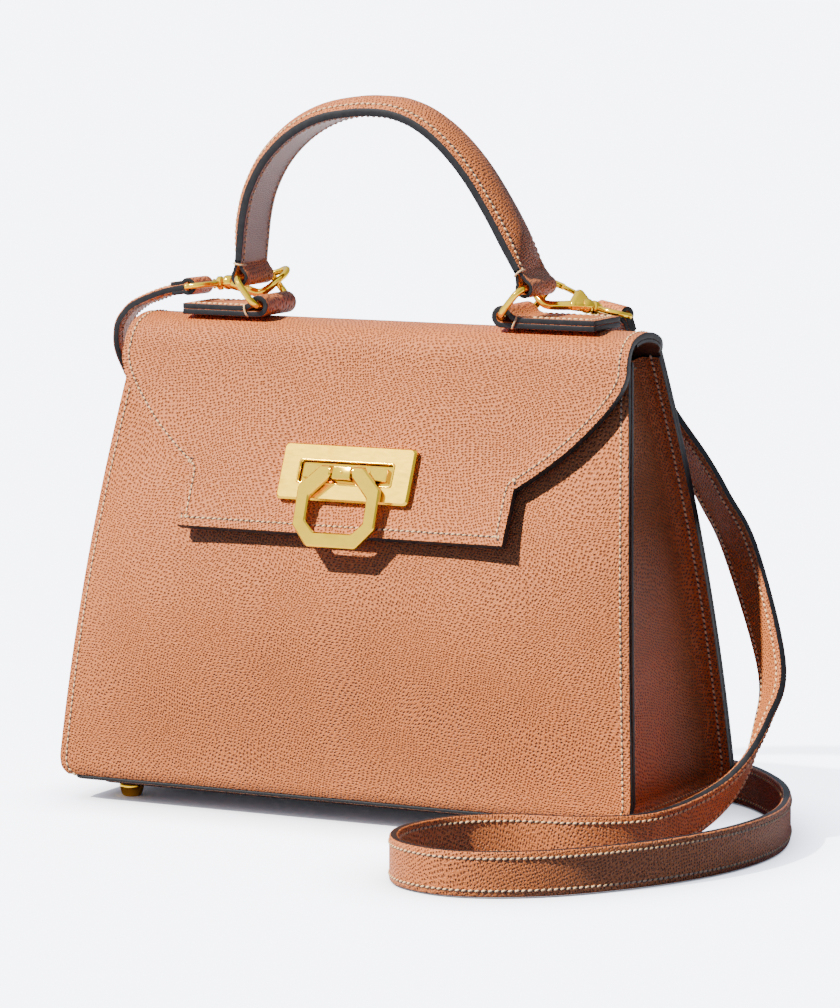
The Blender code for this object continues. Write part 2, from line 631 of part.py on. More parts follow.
def make_clasp(frame):
    plate = frame_prism("lock_plate", rounded_box(PLATE_WIDTH / 2, PLATE_HEIGHT / 2, PLATE_CORNER),
                        rounded_box(WINDOW_WIDTH / 2, WINDOW_HEIGHT / 2, WINDOW_CORNER), frame,
                        CLASP_STANDOFF, CLASP_STANDOFF + PLATE_THICKNESS, BRASS, HINGE)
    bores = []
    inner_end = -(FLAP_LEATHER + TOUCH + BACK_PLATE_THICKNESS)
    for label, side in (("left", -1), ("right", 1)):
        at = frame @ Matrix.Translation((side * RIVET_SPACING / 2, 0, 0))
        bores.append(turned("hole", [(RIVET_HOLE_RADIUS, 0), (RIVET_HOLE_RADIUS, RIVET_BORE_DEPTH)],
                            10, at, BRASS))
        turned("lock_rivet_" + label, [(RIVET_RADIUS, inner_end), (RIVET_RADIUS, RIVET_HEAD_RISE)],
               12, at, STEEL, HINGE)
    combine(plate, bores, "DIFFERENCE")

    def block(x1, x2, low, high, half):
        return prism("block", [(x1, -half), (x2, -half), (x2, half), (x1, half)], frame, low, high,
                     BRASS, HINGE)

    sideways = frame @ Matrix.Translation((0, 0, PIN_HEIGHT)) @ Matrix.Rotation(
        math.pi / 2, 4, "Y")

    def barrel(x1, x2, radius, sides):
        return turned("barrel", [(radius, x1), (radius, x2)], sides, sideways, BRASS, HINGE)

    end = WINDOW_WIDTH / 2 - 2 * TOUCH
    base = block(-end, end, TOUCH, CLASP_FLOOR, WINDOW_HEIGHT / 2 - TOUCH)
    base.name = "clasp_base"
    root = CLASP_FLOOR / 2
    parts = [block(-end, -STEP_START, root, CLASP_STEP, STEP_HALF_HEIGHT),
             block(STEP_START, end, root, CLASP_STEP, STEP_HALF_HEIGHT),
             block(-KNUCKLE_HALF_WIDTH, KNUCKLE_HALF_WIDTH, root, PIN_HEIGHT,
                   KNUCKLE_RADIUS - POST_INSET),
             barrel(-KNUCKLE_HALF_WIDTH, KNUCKLE_HALF_WIDTH, KNUCKLE_RADIUS, 12)]
    combine(base, parts, "UNION")
    combine(base, [barrel(-BORE_OVERRUN, BORE_OVERRUN, BORE_RADIUS, 10)], "DIFFERENCE")
    pin = barrel(-PIN_HALF_LENGTH, PIN_HALF_LENGTH, PIN_RADIUS, 10)
    pin.name = "clasp_pin"

    pivot = frame @ Vector((0, 0, PIN_HEIGHT))
    hung = frame @ Matrix.Translation((0, 0, PIN_HEIGHT)) @ Matrix.Rotation(
        CLASP_RING_REST, 4, "X") @ Matrix.Translation((0, 0, -PIN_HEIGHT))
    ring = prism("clasp_ring", clasp_ring_outline(), hung, CLASP_RING_LOW, CLASP_RING_HIGH, BRASS,
                 pivot)
    inner = KNUCKLE_HALF_WIDTH + TOUCH
    outer = CLASP_RING_HALF_WIDTH * CLASP_RING_OUTER_SHARES[0][0]
    eyes = [barrel(-outer, -inner, KNUCKLE_RADIUS, 12), barrel(inner, outer, KNUCKLE_RADIUS, 12)]
    combine(ring, eyes, "UNION")
    combine(ring, [barrel(-BORE_OVERRUN, BORE_OVERRUN, BORE_RADIUS, 10)], "DIFFERENCE")


# Tabs, rings and handle

def make_tab(name, side, end):
    """Leather strip on the crest, folded round the ring's lower bar, with a second layer."""
    across = axes((0, 0, 0), Vector((1, 0, 0)), Vector((0, 0, 1)), Vector((0, -1, 0)))
    low, high = -TAB_Y - TAB_WIDTH / 2, -TAB_Y + TAB_WIDTH / 2
    top = TAB_BOTTOM_Z + 2 * TAB_LAYER
    outline = [(abs(end), TAB_BOTTOM_Z), (abs(end), top), (LOOP_X + TAB_JOIN, top)]
    for turn in spread(math.radians(60), math.radians(270), 17):
        outline.append((LOOP_X + LOOP_OUTER * math.cos(turn), LOOP_Z + LOOP_OUTER * math.sin(turn)))
    outline.append((LOOP_X + TAB_JOIN, TAB_BOTTOM_Z))
    outline = [(side * x, z) for x, z in outline]
    strip = prism(name, outline, across, low, high, LEATHER)
    bore = turned("bore", [(LOOP_BORE, low - BORE_OVERRUN), (LOOP_BORE, high + BORE_OVERRUN)], 14,
                  across @ Matrix.Translation((side * LOOP_X, LOOP_Z, 0)), BRASS)
    return combine(strip, [bore], "DIFFERENCE")


def ring_top(side):
    return Vector((side * (LOOP_X + RING_LEAN_X), TAB_Y, LOOP_Z + RING_LEAN_Z))


def make_ring(name, side):
    """Oval brass ring leaning outwards, its lower bar in the tab and its upper in the handle."""
    bottom = Vector((side * LOOP_X, TAB_Y, LOOP_Z))
    rise = (ring_top(side) - bottom) / 2
    middle = bottom + rise
    up = rise.normalized()
    path = []
    for x, y in rounded_box(RING_HALF_WIDTH, rise.length, RING_CORNER, 4):
        path.append(middle + Vector((0, x, 0)) + up * y)
    return tube(name, path, RING_WIRE, 8, BRASS, closed=True, origin=bottom)


def handle_line():
    """Line along the handle's inner face, left loop to right loop, and its outward directions."""
    top = ring_top(1)
    rise = HANDLE_TOP_Z - top.z
    line = smooth_path([(x * top.x, 0, top.z + z * rise) for x, z in HANDLE_LINE_SHARES], 2)
    outwards = []
    for i in range(len(line)):
        along = (line[min(i + 1, len(line) - 1)] - line[max(i - 1, 0)]).normalized()
        outwards.append(Vector((-along.z, 0, along.x)))
    return line, outwards


def handle_slab(name, low, high, swell_low, swell_high, width, look, skip=0):
    """A layer of the handle; the swell domes its low or high face over the padding."""
    line, outwards = handle_line()
    pivot = ring_top(-1)
    runs = [0]
    for a, b in zip(line, line[1:]):
        runs.append(runs[-1] + (b - a).length)
    stations = range(skip, len(line) - skip)
    grids = []
    for offset, swells in ((high, swell_high), (low, swell_low)):
        grid = []
        for i in stations:
            end_share = min(runs[i], runs[-1] - runs[i]) / HANDLE_SWELL_RUN
            fullness = math.sin(math.pi / 2 * min(end_share, 1))
            row = []
            for y in spread(-width / 2, width / 2, 7):
                dome = 1 - abs(2 * y / HANDLE_WIDTH) ** HANDLE_SWELL_POWER
                swell = HANDLE_CORE * dome * fullness if swells else 0
                row.append(line[i] + outwards[i] * (offset + swell) + Vector((0, TAB_Y + y, 0)))
            grid.append(row)
        grids.append(grid)
    return slab(name, grids[0], grids[1], look, pivot)


def make_handle():
    pivot = ring_top(-1)
    handle_slab("handle_lining", 0, HANDLE_LINING, False, False, HANDLE_WIDTH, LEATHER_LINING)
    low = HANDLE_LINING + TOUCH
    handle_slab("handle_core", low, low - TOUCH, False, True, HANDLE_CORE_WIDTH, PADDING, 3)
    cover = handle_slab("handle_cover", low, low + HANDLE_COVER, True, True, HANDLE_WIDTH, LEATHER)
    across = axes((0, 0, 0), Vector((1, 0, 0)), Vector((0, 0, 1)), Vector((0, -1, 0)))
    half = HANDLE_WIDTH / 2
    line, outwards = handle_line()
    ends = ((ring_top(-1), line[0] + outwards[0] * (low + HANDLE_COVER / 2)),
            (ring_top(1), line[-1] + outwards[-1] * (low + HANDLE_COVER / 2)))
    for top, joined in ends:
        at = across @ Matrix.Translation((top.x, top.z, -TAB_Y))
        loop = turned("loop", [(HANDLE_LOOP_OUTER, -half), (HANDLE_LOOP_OUTER, half)], 16, at,
                      LEATHER, pivot)
        way = (joined - top) * Vector((1, 0, 1))
        way.normalize()
        side = Vector((way.z, 0, -way.x)) * HANDLE_COVER / 2
        first, last = top + way * HANDLE_LOOP_BORE, Vector((joined.x, 0, joined.z)) + way * TOUCH
        throat = [first - side, first + side, last + side, last - side]
        neck = prism("throat", [(p.x, p.z) for p in throat], across, -TAB_Y - half, -TAB_Y + half,
                     LEATHER, pivot)
        combine(cover, [loop, neck], "UNION")
    for side in (-1, 1):
        at = across @ Matrix.Translation((side * ring_top(1).x, ring_top(1).z, -TAB_Y))
        bore = turned("bore", [(HANDLE_LOOP_BORE, -BORE_OVERRUN), (HANDLE_LOOP_BORE, BORE_OVERRUN)],
                      12, at, BRASS)
        combine(cover, [bore], "DIFFERENCE")


# Snap hooks

def hook_points(side, shares):
    """Places on a hook, given in shares of its size from the middle of the ring's back bar."""
    bar = Vector((LOOP_X + RING_LEAN_X / 2, TAB_Y + RING_HALF_WIDTH, LOOP_Z + RING_LEAN_Z / 2))
    places = [bar + HOOK_SIZE * Vector(share) for share in shares]
    return [Vector((side * p.x, p.y, p.z)) for p in places]


def make_hook(label, side, bar):
    """Swivel snap hook clipped on the back bar of the ring, with a sprung gate."""
    places = HOOK_SHARES[label]
    neck, root, hinge, tip = hook_points(side, [places["neck"], places["root"], places["hinge"],
                                                GATE_TIP_SHARES])
    bend = hook_points(side, CLAW_BEND_SHARES)
    out = (bar - neck).normalized()
    claw = tube("hook_body_" + label, smooth_path([neck, root] + bend, 2), CLAW_RADIUS, 8, BRASS,
                origin=neck)
    gate_line = (hinge - tip).normalized()
    normal = gate_line.cross(root - hinge).normalized()
    hinge_frame = axes(hinge, gate_line, normal.cross(gate_line), normal)
    first = out.orthogonal().normalized()
    shank = axes(neck, first, out.cross(first), out)
    parts = []
    for profile in (SHOULDER_PROFILE_SHARES, POST_PROFILE_SHARES):
        rings = [(HOOK_SIZE * radius, HOOK_SIZE * height) for radius, height in profile]
        parts.append(turned("stem", rings, 12, shank, BRASS))
    to_root = (root - hinge).normalized()
    link = axes(hinge, to_root, normal.cross(to_root), normal)
    length = (root - hinge).length
    gap, thick, half, nose = (HOOK_SIZE * share for share in CHEEK_SHARES)
    plate = [(-half, -nose), (-half, nose), (-nose, half), (length, half), (length, -half),
             (-nose, -half)]
    for low in (gap, -gap - thick):
        parts.append(prism("cheek", plate, link, low, low + thick, BRASS))
    parts.append(turned("boss", [(GATE_EYE_RADIUS, -gap - thick), (GATE_EYE_RADIUS, gap + thick)],
                        10, link @ Matrix.Translation((length, 0, 0)), BRASS))
    combine(claw, parts, "UNION")
    bore = [(GATE_BORE, -GATE_PIN_HALF * 2), (GATE_BORE, GATE_PIN_HALF * 2)]
    combine(claw, [turned("bore", bore, 8, hinge_frame, BRASS)], "DIFFERENCE")
    turned("hook_pin_" + label, [(GATE_PIN_RADIUS, -GATE_PIN_HALF), (GATE_PIN_RADIUS, GATE_PIN_HALF)],
           8, hinge_frame, STEEL, hinge)
    gate = tube("hook_gate_" + label, [tip, tip.lerp(hinge, 0.5), hinge], GATE_RADIUS, 8, BRASS,
                origin=hinge)
    eye = [(GATE_EYE_RADIUS, -GATE_EYE_HALF), (GATE_EYE_RADIUS, GATE_EYE_HALF)]
    combine(gate, [turned("eye", eye, 10, hinge_frame, BRASS)], "UNION")
    combine(gate, [turned("bore", bore, 8, hinge_frame, BRASS)], "DIFFERENCE")
    wide = STRAP_WIDTH / 2 + EYE_MARGIN
    sideways = strap_across(label)
    reach = (bar - neck).length
    half = [(HOOK_SIZE * along, HOOK_SIZE * across) for along, across in EYE_NECK_SHARES]
    half += [(reach - EYE_SHOULDER, wide), (reach - EYE_ROUND, wide), (reach, wide - EYE_CORNER)]
    loop = [neck + out * along + sideways * across for along, across in half] + [bar]
    loop += [neck + out * along - sideways * across for along, across in reversed(half)]
    strap_eye = tube("hook_eye_" + label, loop, EYE_RADIUS, 8, BRASS)
    low, high, inner, outer = (HOOK_SIZE * share for share in COLLAR_SHARES)
    combine(strap_eye, [frame_ring(shank, low, high, inner, outer)], "UNION")


def frame_ring(frame, low, high, inner, outer, sides=12):
    points = [(math.cos(2 * math.pi * k / sides), math.sin(2 * math.pi * k / sides))
              for k in range(sides)]
    return frame_prism("collar", [(outer * x, outer * y) for x, y in points],
                       [(inner * x, inner * y) for x, y in points], frame, low, high, BRASS)


# Shoulder strap

STRAP_ROUTE = (  # point, and the direction across the strap's width
    ((-0.0890, 0.0010, 0.2020), (0.10, 0.99, 0.00)),
    ((-0.0985, 0.0006, 0.2003), (0.08, 0.99, 0.05)),
    ((-0.1090, 0.0022, 0.1968), (-0.06, 0.99, 0.02)),
    ((-0.1190, 0.0060, 0.1925), (-0.18, 0.98, 0.02)),
    ((-0.1275, 0.0110, 0.1855), (-0.28, 0.96, 0.00)),
    ((-0.1325, 0.0170, 0.1750), (-0.36, 0.93, -0.04)),
    ((-0.1325, 0.0250, 0.1610), (-0.46, 0.88, -0.06)),
    ((-0.1290, 0.0370, 0.1400), (-0.62, 0.78, -0.06)),
    ((-0.1155, 0.0620, 0.0840), (-0.93, 0.20, -0.10)),
    ((-0.1090, 0.0720, 0.0560), (-0.90, 0.10, -0.40)),
    ((-0.1020, 0.0790, 0.0310), (-0.68, 0.05, -0.72)),
    ((-0.0880, 0.0840, 0.0145), (-0.30, 0.00, -0.95)),
    ((-0.0640, 0.0860, 0.0092), (0.00, 0.00, -1.00)),
    ((0.0000, 0.0840, 0.0088), (0.00, 0.00, -1.00)),
    ((0.0750, 0.0760, 0.0088), (0.00, 0.00, -1.00)),
    ((0.1180, 0.0620, 0.0088), (0.00, 0.00, -1.00)),
    ((0.1450, 0.0380, 0.0088), (0.00, 0.00, -1.00)),
    ((0.1640, 0.0070, 0.0088), (0.00, 0.00, -1.00)),
    ((0.1745, -0.0300, 0.0088), (0.00, 0.00, -1.00)),
    ((0.1715, -0.0680, 0.0088), (0.00, 0.00, -1.00)),
    ((0.1560, -0.1050, 0.0088), (0.00, 0.00, -1.00)),
    ((0.1310, -0.1370, 0.0088), (0.00, 0.00, -1.00)),
    ((0.1020, -0.1520, 0.0088), (0.00, 0.00, -1.00)),
    ((0.0760, -0.1450, 0.0088), (0.00, 0.00, -1.00)),
    ((0.0640, -0.1220, 0.0088), (0.00, 0.00, -1.00)),
    ((0.0700, -0.0960, 0.0088), (0.00, 0.00, -1.00)),
    ((0.0880, -0.0800, 0.0088), (0.00, 0.00, -1.00)),
    ((0.1150, -0.0720, 0.0088), (0.00, 0.00, -1.00)),
    ((0.1350, -0.0540, 0.0092), (-0.05, 0.10, -1.00)),
    ((0.1450, -0.0300, 0.0145), (-0.18, 0.42, -0.89)),
    ((0.1530, -0.0130, 0.0260), (-0.34, 0.70, -0.63)),
    ((0.1560, 0.0020, 0.0440), (-0.60, 0.72, -0.35)),
    ((0.1545, 0.0140, 0.0640), (-0.80, 0.58, -0.16)),
    ((0.1345, 0.0310, 0.1040), (-0.90, 0.42, -0.05)),
    ((0.1205, 0.0370, 0.1240), (-0.88, 0.46, 0.05)),
    ((0.1065, 0.0415, 0.1420), (-0.88, 0.46, 0.10)),
    ((0.0950, 0.0400, 0.1580), (-0.92, 0.38, 0.05)),
    ((0.0890, 0.0360, 0.1700), (-0.95, 0.32, 0.00)),
    ((0.0860, 0.0295, 0.1800), (-0.93, 0.36, 0.00)),
    ((0.0838, 0.0220, 0.1965), (-0.86, 0.50, -0.02)),
)


def strap_across(label):
    """Direction across the strap where it goes round the hook's eye."""
    return strap_rings()[0 if label == "left" else -1][1]


def strap_rings(steps=2):
    """Centre, width direction and thickness direction along the strap's whole route."""
    centres = smooth_path([p for p, _ in STRAP_ROUTE], steps)
    widths = smooth_path([w for _, w in STRAP_ROUTE], steps)
    rings = []
    for i, centre in enumerate(centres):
        along = (centres[min(i + 1, len(centres) - 1)] - centres[max(i - 1, 0)]).normalized()
        wide = (widths[i] - along * widths[i].dot(along)).normalized()
        rings.append((centre, wide, along.cross(wide)))
    return rings


def make_strap():
    """Flat strap standing on edge on the floor, its ends in folds round the hooks' eyes."""
    rings = strap_rings()
    verts, faces = [], []
    for centre, wide, thick in rings:
        a, b = wide * STRAP_WIDTH / 2, thick * STRAP_THICKNESS / 2
        verts += [centre + a + b, centre - a + b, centre - a - b, centre + a - b]
    for i in range(len(rings) - 1):
        for k in range(4):
            j = (k + 1) % 4
            faces.append((4 * i + k, 4 * i + j, 4 * i + 4 + j, 4 * i + 4 + k))
    faces.append((3, 2, 1, 0))
    last = 4 * (len(rings) - 1)
    faces.append((last, last + 1, last + 2, last + 3))
    strap = add_object("shoulder_strap", verts, faces, LEATHER)
    for ring in (rings[0], rings[-1]):
        centre, wide, thick = ring
        at = axes(centre, thick.cross(wide), thick, wide)
        half = STRAP_WIDTH / 2
        fold = turned("fold", [(STRAP_FOLD, -half), (STRAP_FOLD, half)], 14, at, LEATHER)
        combine(strap, [fold], "UNION")
        bore = turned("bore", [(STRAP_BORE, -BORE_OVERRUN), (STRAP_BORE, BORE_OVERRUN)], 10, at,
                      BRASS)
        combine(strap, [bore], "DIFFERENCE")
    return strap


def centre_on_origin():
    """Move all pieces so that the box of the bag without its strap is centred front to back."""
    bag = [o for o in bpy.data.objects if not o.name.startswith(("hook_", "shoulder_"))]
    sides = [o.location.y + v.co.y for o in bag for v in o.data.vertices]
    shift = -(min(sides) + max(sides)) / 2
    for piece in bpy.data.objects:
        piece.location.y += shift


def build():
    for old in list(bpy.data.objects):
        bpy.data.objects.remove(old)
    make_walls()
    make_gusset("left_gusset", -1)
    make_gusset("right_gusset", 1)
    make_gusset_lining("left_lining", -1)
    make_gusset_lining("right_lining", 1)
    make_base()
    frame = make_flap()
    make_keeper()
    make_clasp(frame)
    make_tab("left_tab", -1, TAB_END_LEFT)
    make_tab("right_tab", 1, TAB_END_RIGHT)
    make_ring("left_ring", -1)
    make_ring("right_ring", 1)
    make_handle()
    make_hook("left", -1, Vector(STRAP_ROUTE[0][0]))
    make_hook("right", 1, Vector(STRAP_ROUTE[-1][0]))
    make_strap()
    centre_on_origin()


build()
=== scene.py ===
import math

import bmesh
import bpy
from mathutils import Matrix, Vector


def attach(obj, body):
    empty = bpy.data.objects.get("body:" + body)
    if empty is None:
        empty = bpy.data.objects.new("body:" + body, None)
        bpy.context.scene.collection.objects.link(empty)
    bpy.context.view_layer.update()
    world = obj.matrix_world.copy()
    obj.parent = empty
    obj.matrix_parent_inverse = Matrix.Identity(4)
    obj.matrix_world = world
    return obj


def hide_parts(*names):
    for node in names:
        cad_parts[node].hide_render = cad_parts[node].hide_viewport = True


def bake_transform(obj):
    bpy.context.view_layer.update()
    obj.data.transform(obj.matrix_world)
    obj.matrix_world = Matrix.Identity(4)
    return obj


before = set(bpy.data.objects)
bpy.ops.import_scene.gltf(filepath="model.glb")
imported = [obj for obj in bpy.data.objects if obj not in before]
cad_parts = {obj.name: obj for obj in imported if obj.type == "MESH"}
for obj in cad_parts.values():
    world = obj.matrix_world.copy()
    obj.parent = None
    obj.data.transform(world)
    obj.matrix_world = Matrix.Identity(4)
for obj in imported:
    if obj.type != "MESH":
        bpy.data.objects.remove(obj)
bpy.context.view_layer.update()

# The camera stands in front of the bag and to its right, a little above its middle. It is
# a long lens on an upright frame, and nothing is out of focus.
CAMERA_LENS, CAMERA_PLACE = 177.6, (0.8789, -1.720878, 0.3632)
CAMERA_PITCH, CAMERA_HEADING = math.radians(82.82), math.radians(26.72)
camera_data = bpy.data.cameras.new("studio_camera")
camera_data.lens = CAMERA_LENS
camera = bpy.data.objects.new("studio_camera", camera_data)
camera.location = CAMERA_PLACE
camera.rotation_euler = (CAMERA_PITCH, 0, CAMERA_HEADING)
bpy.context.scene.collection.objects.link(camera)
bpy.context.scene.camera = camera

# Tan calf leather, printed with a fine grain of short pits in wandering rows. Its cut edges
# are sanded, sealed and painted black, and its back and the linings are dark brown.
GRAIN_SIZE, GRAIN_DEPTH = 0.00132, 0.00046
TONE_SCALE, GRAIN_WANDER, ROW_LEAN = 0.035, (9, 9, 0), 0.32
PIT_SQUASH, PIT_RANDOMNESS, PIT_NEAR, PIT_FAR = (0.92, 1.12, 1), 0.48, 0.04, 0.42
PIT_SHARE, PIT_GLOSS, FINE_SCALE, FINE_SHARE = 0.82, 0.15, 2.2, 0.70
TAN, TAN_DEEP = (0.690, 0.195, 0.044, 1), (0.165, 0.050, 0.024, 1)
BROWN, BROWN_DEEP = (0.190, 0.062, 0.024, 1), (0.070, 0.020, 0.008, 1)
BROWN_GRAIN_DEPTH, BROWN_GRAIN_SIZE = 0.00010, 0.0011
EDGE_BLACK, EDGE_BLACK_WORN = (0.0045, 0.0045, 0.0050, 1), (0.016, 0.015, 0.016, 1)
EDGE_ROUND, THIN_EDGE_ROUND = 0.0005, 0.0003
CLEARANCE = 0.0001  # between two layers that lie on each other
SIDES = (("left", -1), ("right", 1))


def feed(node, *values, **named):
    """Gives inputs, in order or by name, a value or the socket that feeds them; None skips one."""
    given = [(node.inputs[i], value) for i, value in enumerate(values) if value is not None]
    given += [(node.inputs[name.replace("_", " ")], value) for name, value in named.items()]
    for socket, value in given:
        if isinstance(value, bpy.types.NodeSocket):
            node.id_data.links.new(value, socket)
        else:
            socket.default_value = value
    return node


def wire(tree, kind, *values, **settings):
    """Adds a node to a tree; settings name its properties or, like values, feed its inputs."""
    node = tree.nodes.new(kind)
    own = [name for name in settings if hasattr(node, name)]
    for name in own:
        setattr(node, name, settings.pop(name))
    return feed(node, *values, **settings)


def mixed(tree, share, first, second):
    """Socket with a mix of two colours; each is a colour or the socket that gives it."""
    node = wire(tree, "ShaderNodeMix", share, data_type="RGBA")
    skipped = next(i for i, socket in enumerate(node.inputs) if socket.type == "RGBA")
    feed(node, *[None] * skipped, first, second)
    return next(socket for socket in node.outputs if socket.type == "RGBA")


def new_look(name):
    look = bpy.data.materials.new(name)
    look.use_nodes = True
    return look


def coat(look, **inputs):
    """Feeds the inputs of a material's shader, and gives the material back."""
    feed(look.node_tree.nodes["Principled BSDF"], **inputs)
    return look


def specks(tree, scale, detail=2, stretch=1):
    """Socket of a noise in the piece's own space, drawn out along x where stretch is under 1."""
    place = wire(tree, "ShaderNodeTexCoord").outputs["Object"]
    if stretch != 1:
        place = wire(tree, "ShaderNodeMapping", Vector=place, Scale=(stretch, 1, 1)).outputs[0]
    return wire(tree, "ShaderNodeTexNoise", Vector=place, Scale=scale, Detail=detail).outputs["Fac"]


def toned(tree, share, colours, stops=(0, 1)):
    """Socket that goes from one colour to another as a share goes from stop to stop."""
    ramp = wire(tree, "ShaderNodeValToRGB", Fac=share)
    for element, stop, colour in zip(ramp.color_ramp.elements, stops, colours):
        element.position = stop
        element.color = colour
    return ramp.outputs["Color"]


def between(tree, share, low, high):
    """Socket that goes from a low to a high value as a share goes from 0 to 1."""
    return wire(tree, "ShaderNodeMapRange", Value=share, To_Min=low, To_Max=high).outputs["Result"]


def relief(tree, height, strength, distance):
    """Socket of the surface direction over a relief."""
    bump = wire(tree, "ShaderNodeBump", Strength=strength, Distance=distance, Height=height)
    return bump.outputs[0]


def pebbled_grain():
    """Shader group for the printed grain: its height, its pits and a slow change of tone."""
    group = bpy.data.node_groups.new("pebbled_grain", "ShaderNodeTree")
    group.interface.new_socket("Place", in_out="INPUT", socket_type="NodeSocketVector")
    size = group.interface.new_socket("Grain Size", in_out="INPUT", socket_type="NodeSocketFloat")
    size.default_value = GRAIN_SIZE
    for name in ("Height", "Pit", "Tone"):
        group.interface.new_socket(name, in_out="OUTPUT", socket_type="NodeSocketFloat")
    given = wire(group, "NodeGroupInput").outputs
    share = wire(group, "ShaderNodeMath", 1, given["Grain Size"], operation="DIVIDE")
    place = wire(group, "ShaderNodeVectorMath", given["Place"], operation="SCALE",
                 Scale=share.outputs[0]).outputs[0]

    def flat_noise(scale, detail):
        return wire(group, "ShaderNodeTexNoise", noise_dimensions="2D", Vector=place, Scale=scale,
                    Detail=detail).outputs

    centred = wire(group, "ShaderNodeVectorMath", flat_noise(TONE_SCALE, 1)["Color"],
                   (0.5, 0.5, 0.5), operation="SUBTRACT")
    bent = wire(group, "ShaderNodeVectorMath", centred.outputs[0], GRAIN_WANDER, place,
                operation="MULTIPLY_ADD")
    lean = wire(group, "ShaderNodeMapping", Vector=bent.outputs[0], Rotation=(0, 0, ROW_LEAN),
                Scale=PIT_SQUASH)
    cells = wire(group, "ShaderNodeTexVoronoi", voronoi_dimensions="2D", Vector=lean.outputs[0],
                 Scale=1, Randomness=PIT_RANDOMNESS)
    pit = wire(group, "ShaderNodeMapRange", interpolation_type="SMOOTHSTEP",
               Value=cells.outputs["Distance"], From_Min=PIT_NEAR, From_Max=PIT_FAR, To_Min=1,
               To_Max=0)
    rough = wire(group, "ShaderNodeMath", flat_noise(FINE_SCALE, 3)["Fac"], FINE_SHARE,
                 operation="MULTIPLY")
    height = wire(group, "ShaderNodeMath", rough.outputs[0], pit.outputs["Result"],
                  operation="SUBTRACT")
    wire(group, "NodeGroupOutput", Height=height.outputs[0], Pit=pit.outputs["Result"],
         Tone=flat_noise(TONE_SCALE, 4)["Fac"])
    return group


grain = pebbled_grain()


def grained_leather(name, colour, deep, roughness, depth=GRAIN_DEPTH, size=GRAIN_SIZE, shine=0.30):
    """Grained leather that follows the piece's own surface map, laid out in metres."""
    look = new_look(name)
    tree = look.node_tree
    place = wire(tree, "ShaderNodeUVMap", uv_map="surface")
    printed = wire(tree, "ShaderNodeGroup", node_tree=grain, Place=place.outputs[0],
                   Grain_Size=size).outputs
    dark, light = ([tint * c for c in colour[:3]] + [1] for tint in (0.90, 1.10))
    mottled = mixed(tree, printed["Tone"], dark, light)
    share = wire(tree, "ShaderNodeMath", printed["Pit"], PIT_SHARE, operation="MULTIPLY")
    return coat(look, Base_Color=mixed(tree, share.outputs[0], mottled, deep),
                Roughness=between(tree, printed["Pit"], roughness, roughness + PIT_GLOSS),
                Normal=relief(tree, printed["Height"], 1, depth), Specular_IOR_Level=shine)


def painted_edge():
    """Black edge paint: satin, a little uneven where the layers meet."""
    look = new_look("painted_edge")
    tree = look.node_tree
    grit = specks(tree, 420, 3)
    return coat(look, Base_Color=toned(tree, grit, (EDGE_BLACK, EDGE_BLACK_WORN), (0.35, 0.80)),
                Roughness=between(tree, grit, 0.48, 0.66), Normal=relief(tree, grit, 0.5, 0.00012),
                Specular_IOR_Level=0.22)


tan_leather = grained_leather("tan_leather", TAN, TAN_DEEP, 0.43)
brown_leather = grained_leather("brown_leather", BROWN, BROWN_DEEP, 0.42, BROWN_GRAIN_DEPTH,
                                BROWN_GRAIN_SIZE)
edge_paint = painted_edge()
LEATHER_LOOKS = (tan_leather, brown_leather, edge_paint)
TAN_BOTH_SIDES = (tan_leather, tan_leather, edge_paint)
BROWN_BOTH_SIDES = (brown_leather, brown_leather, edge_paint)


def new_piece(name, verts, faces, looks, kinds=None):
    """A mesh object at the origin, its faces turned outwards and shaded smooth."""
    mesh = bpy.data.meshes.new(name)
    mesh.from_pydata([tuple(v) for v in verts], [], faces)
    for look in looks:
        mesh.materials.append(look)
    if kinds:
        mesh.polygons.foreach_set("material_index", kinds)
    shell = bmesh.new()
    shell.from_mesh(mesh)
    bmesh.ops.recalc_face_normals(shell, faces=shell.faces[:])
    if shell.calc_volume(signed=True) < 0:
        bmesh.ops.reverse_faces(shell, faces=shell.faces[:])
    shell.to_mesh(mesh)
    shell.free()
    mesh.shade_smooth()
    mesh.set_sharp_from_angle(angle=math.radians(38))
    piece = bpy.data.objects.new(name, mesh)
    bpy.context.scene.collection.objects.link(piece)
    return piece


def made_plain(piece):
    """Turns a piece's modifiers into a plain mesh."""
    graph = bpy.context.evaluated_depsgraph_get()
    mesh = bpy.data.meshes.new_from_object(piece.evaluated_get(graph))
    mesh.name = piece.name
    piece.modifiers.clear()
    piece.data = mesh
    return piece


def rounded(piece, width, segments=2, angle=50, smooth=62):
    """Rounds a piece's sharp edges; a small angle for smooth keeps the chamfers crisp."""
    bevel = piece.modifiers.new("rounded_edges", "BEVEL")
    bevel.width = width
    bevel.segments = segments
    bevel.limit_method = "ANGLE"
    bevel.angle_limit = math.radians(angle)
    made_plain(piece)
    piece.data.shade_smooth()
    piece.data.set_sharp_from_angle(angle=math.radians(smooth))
    return piece


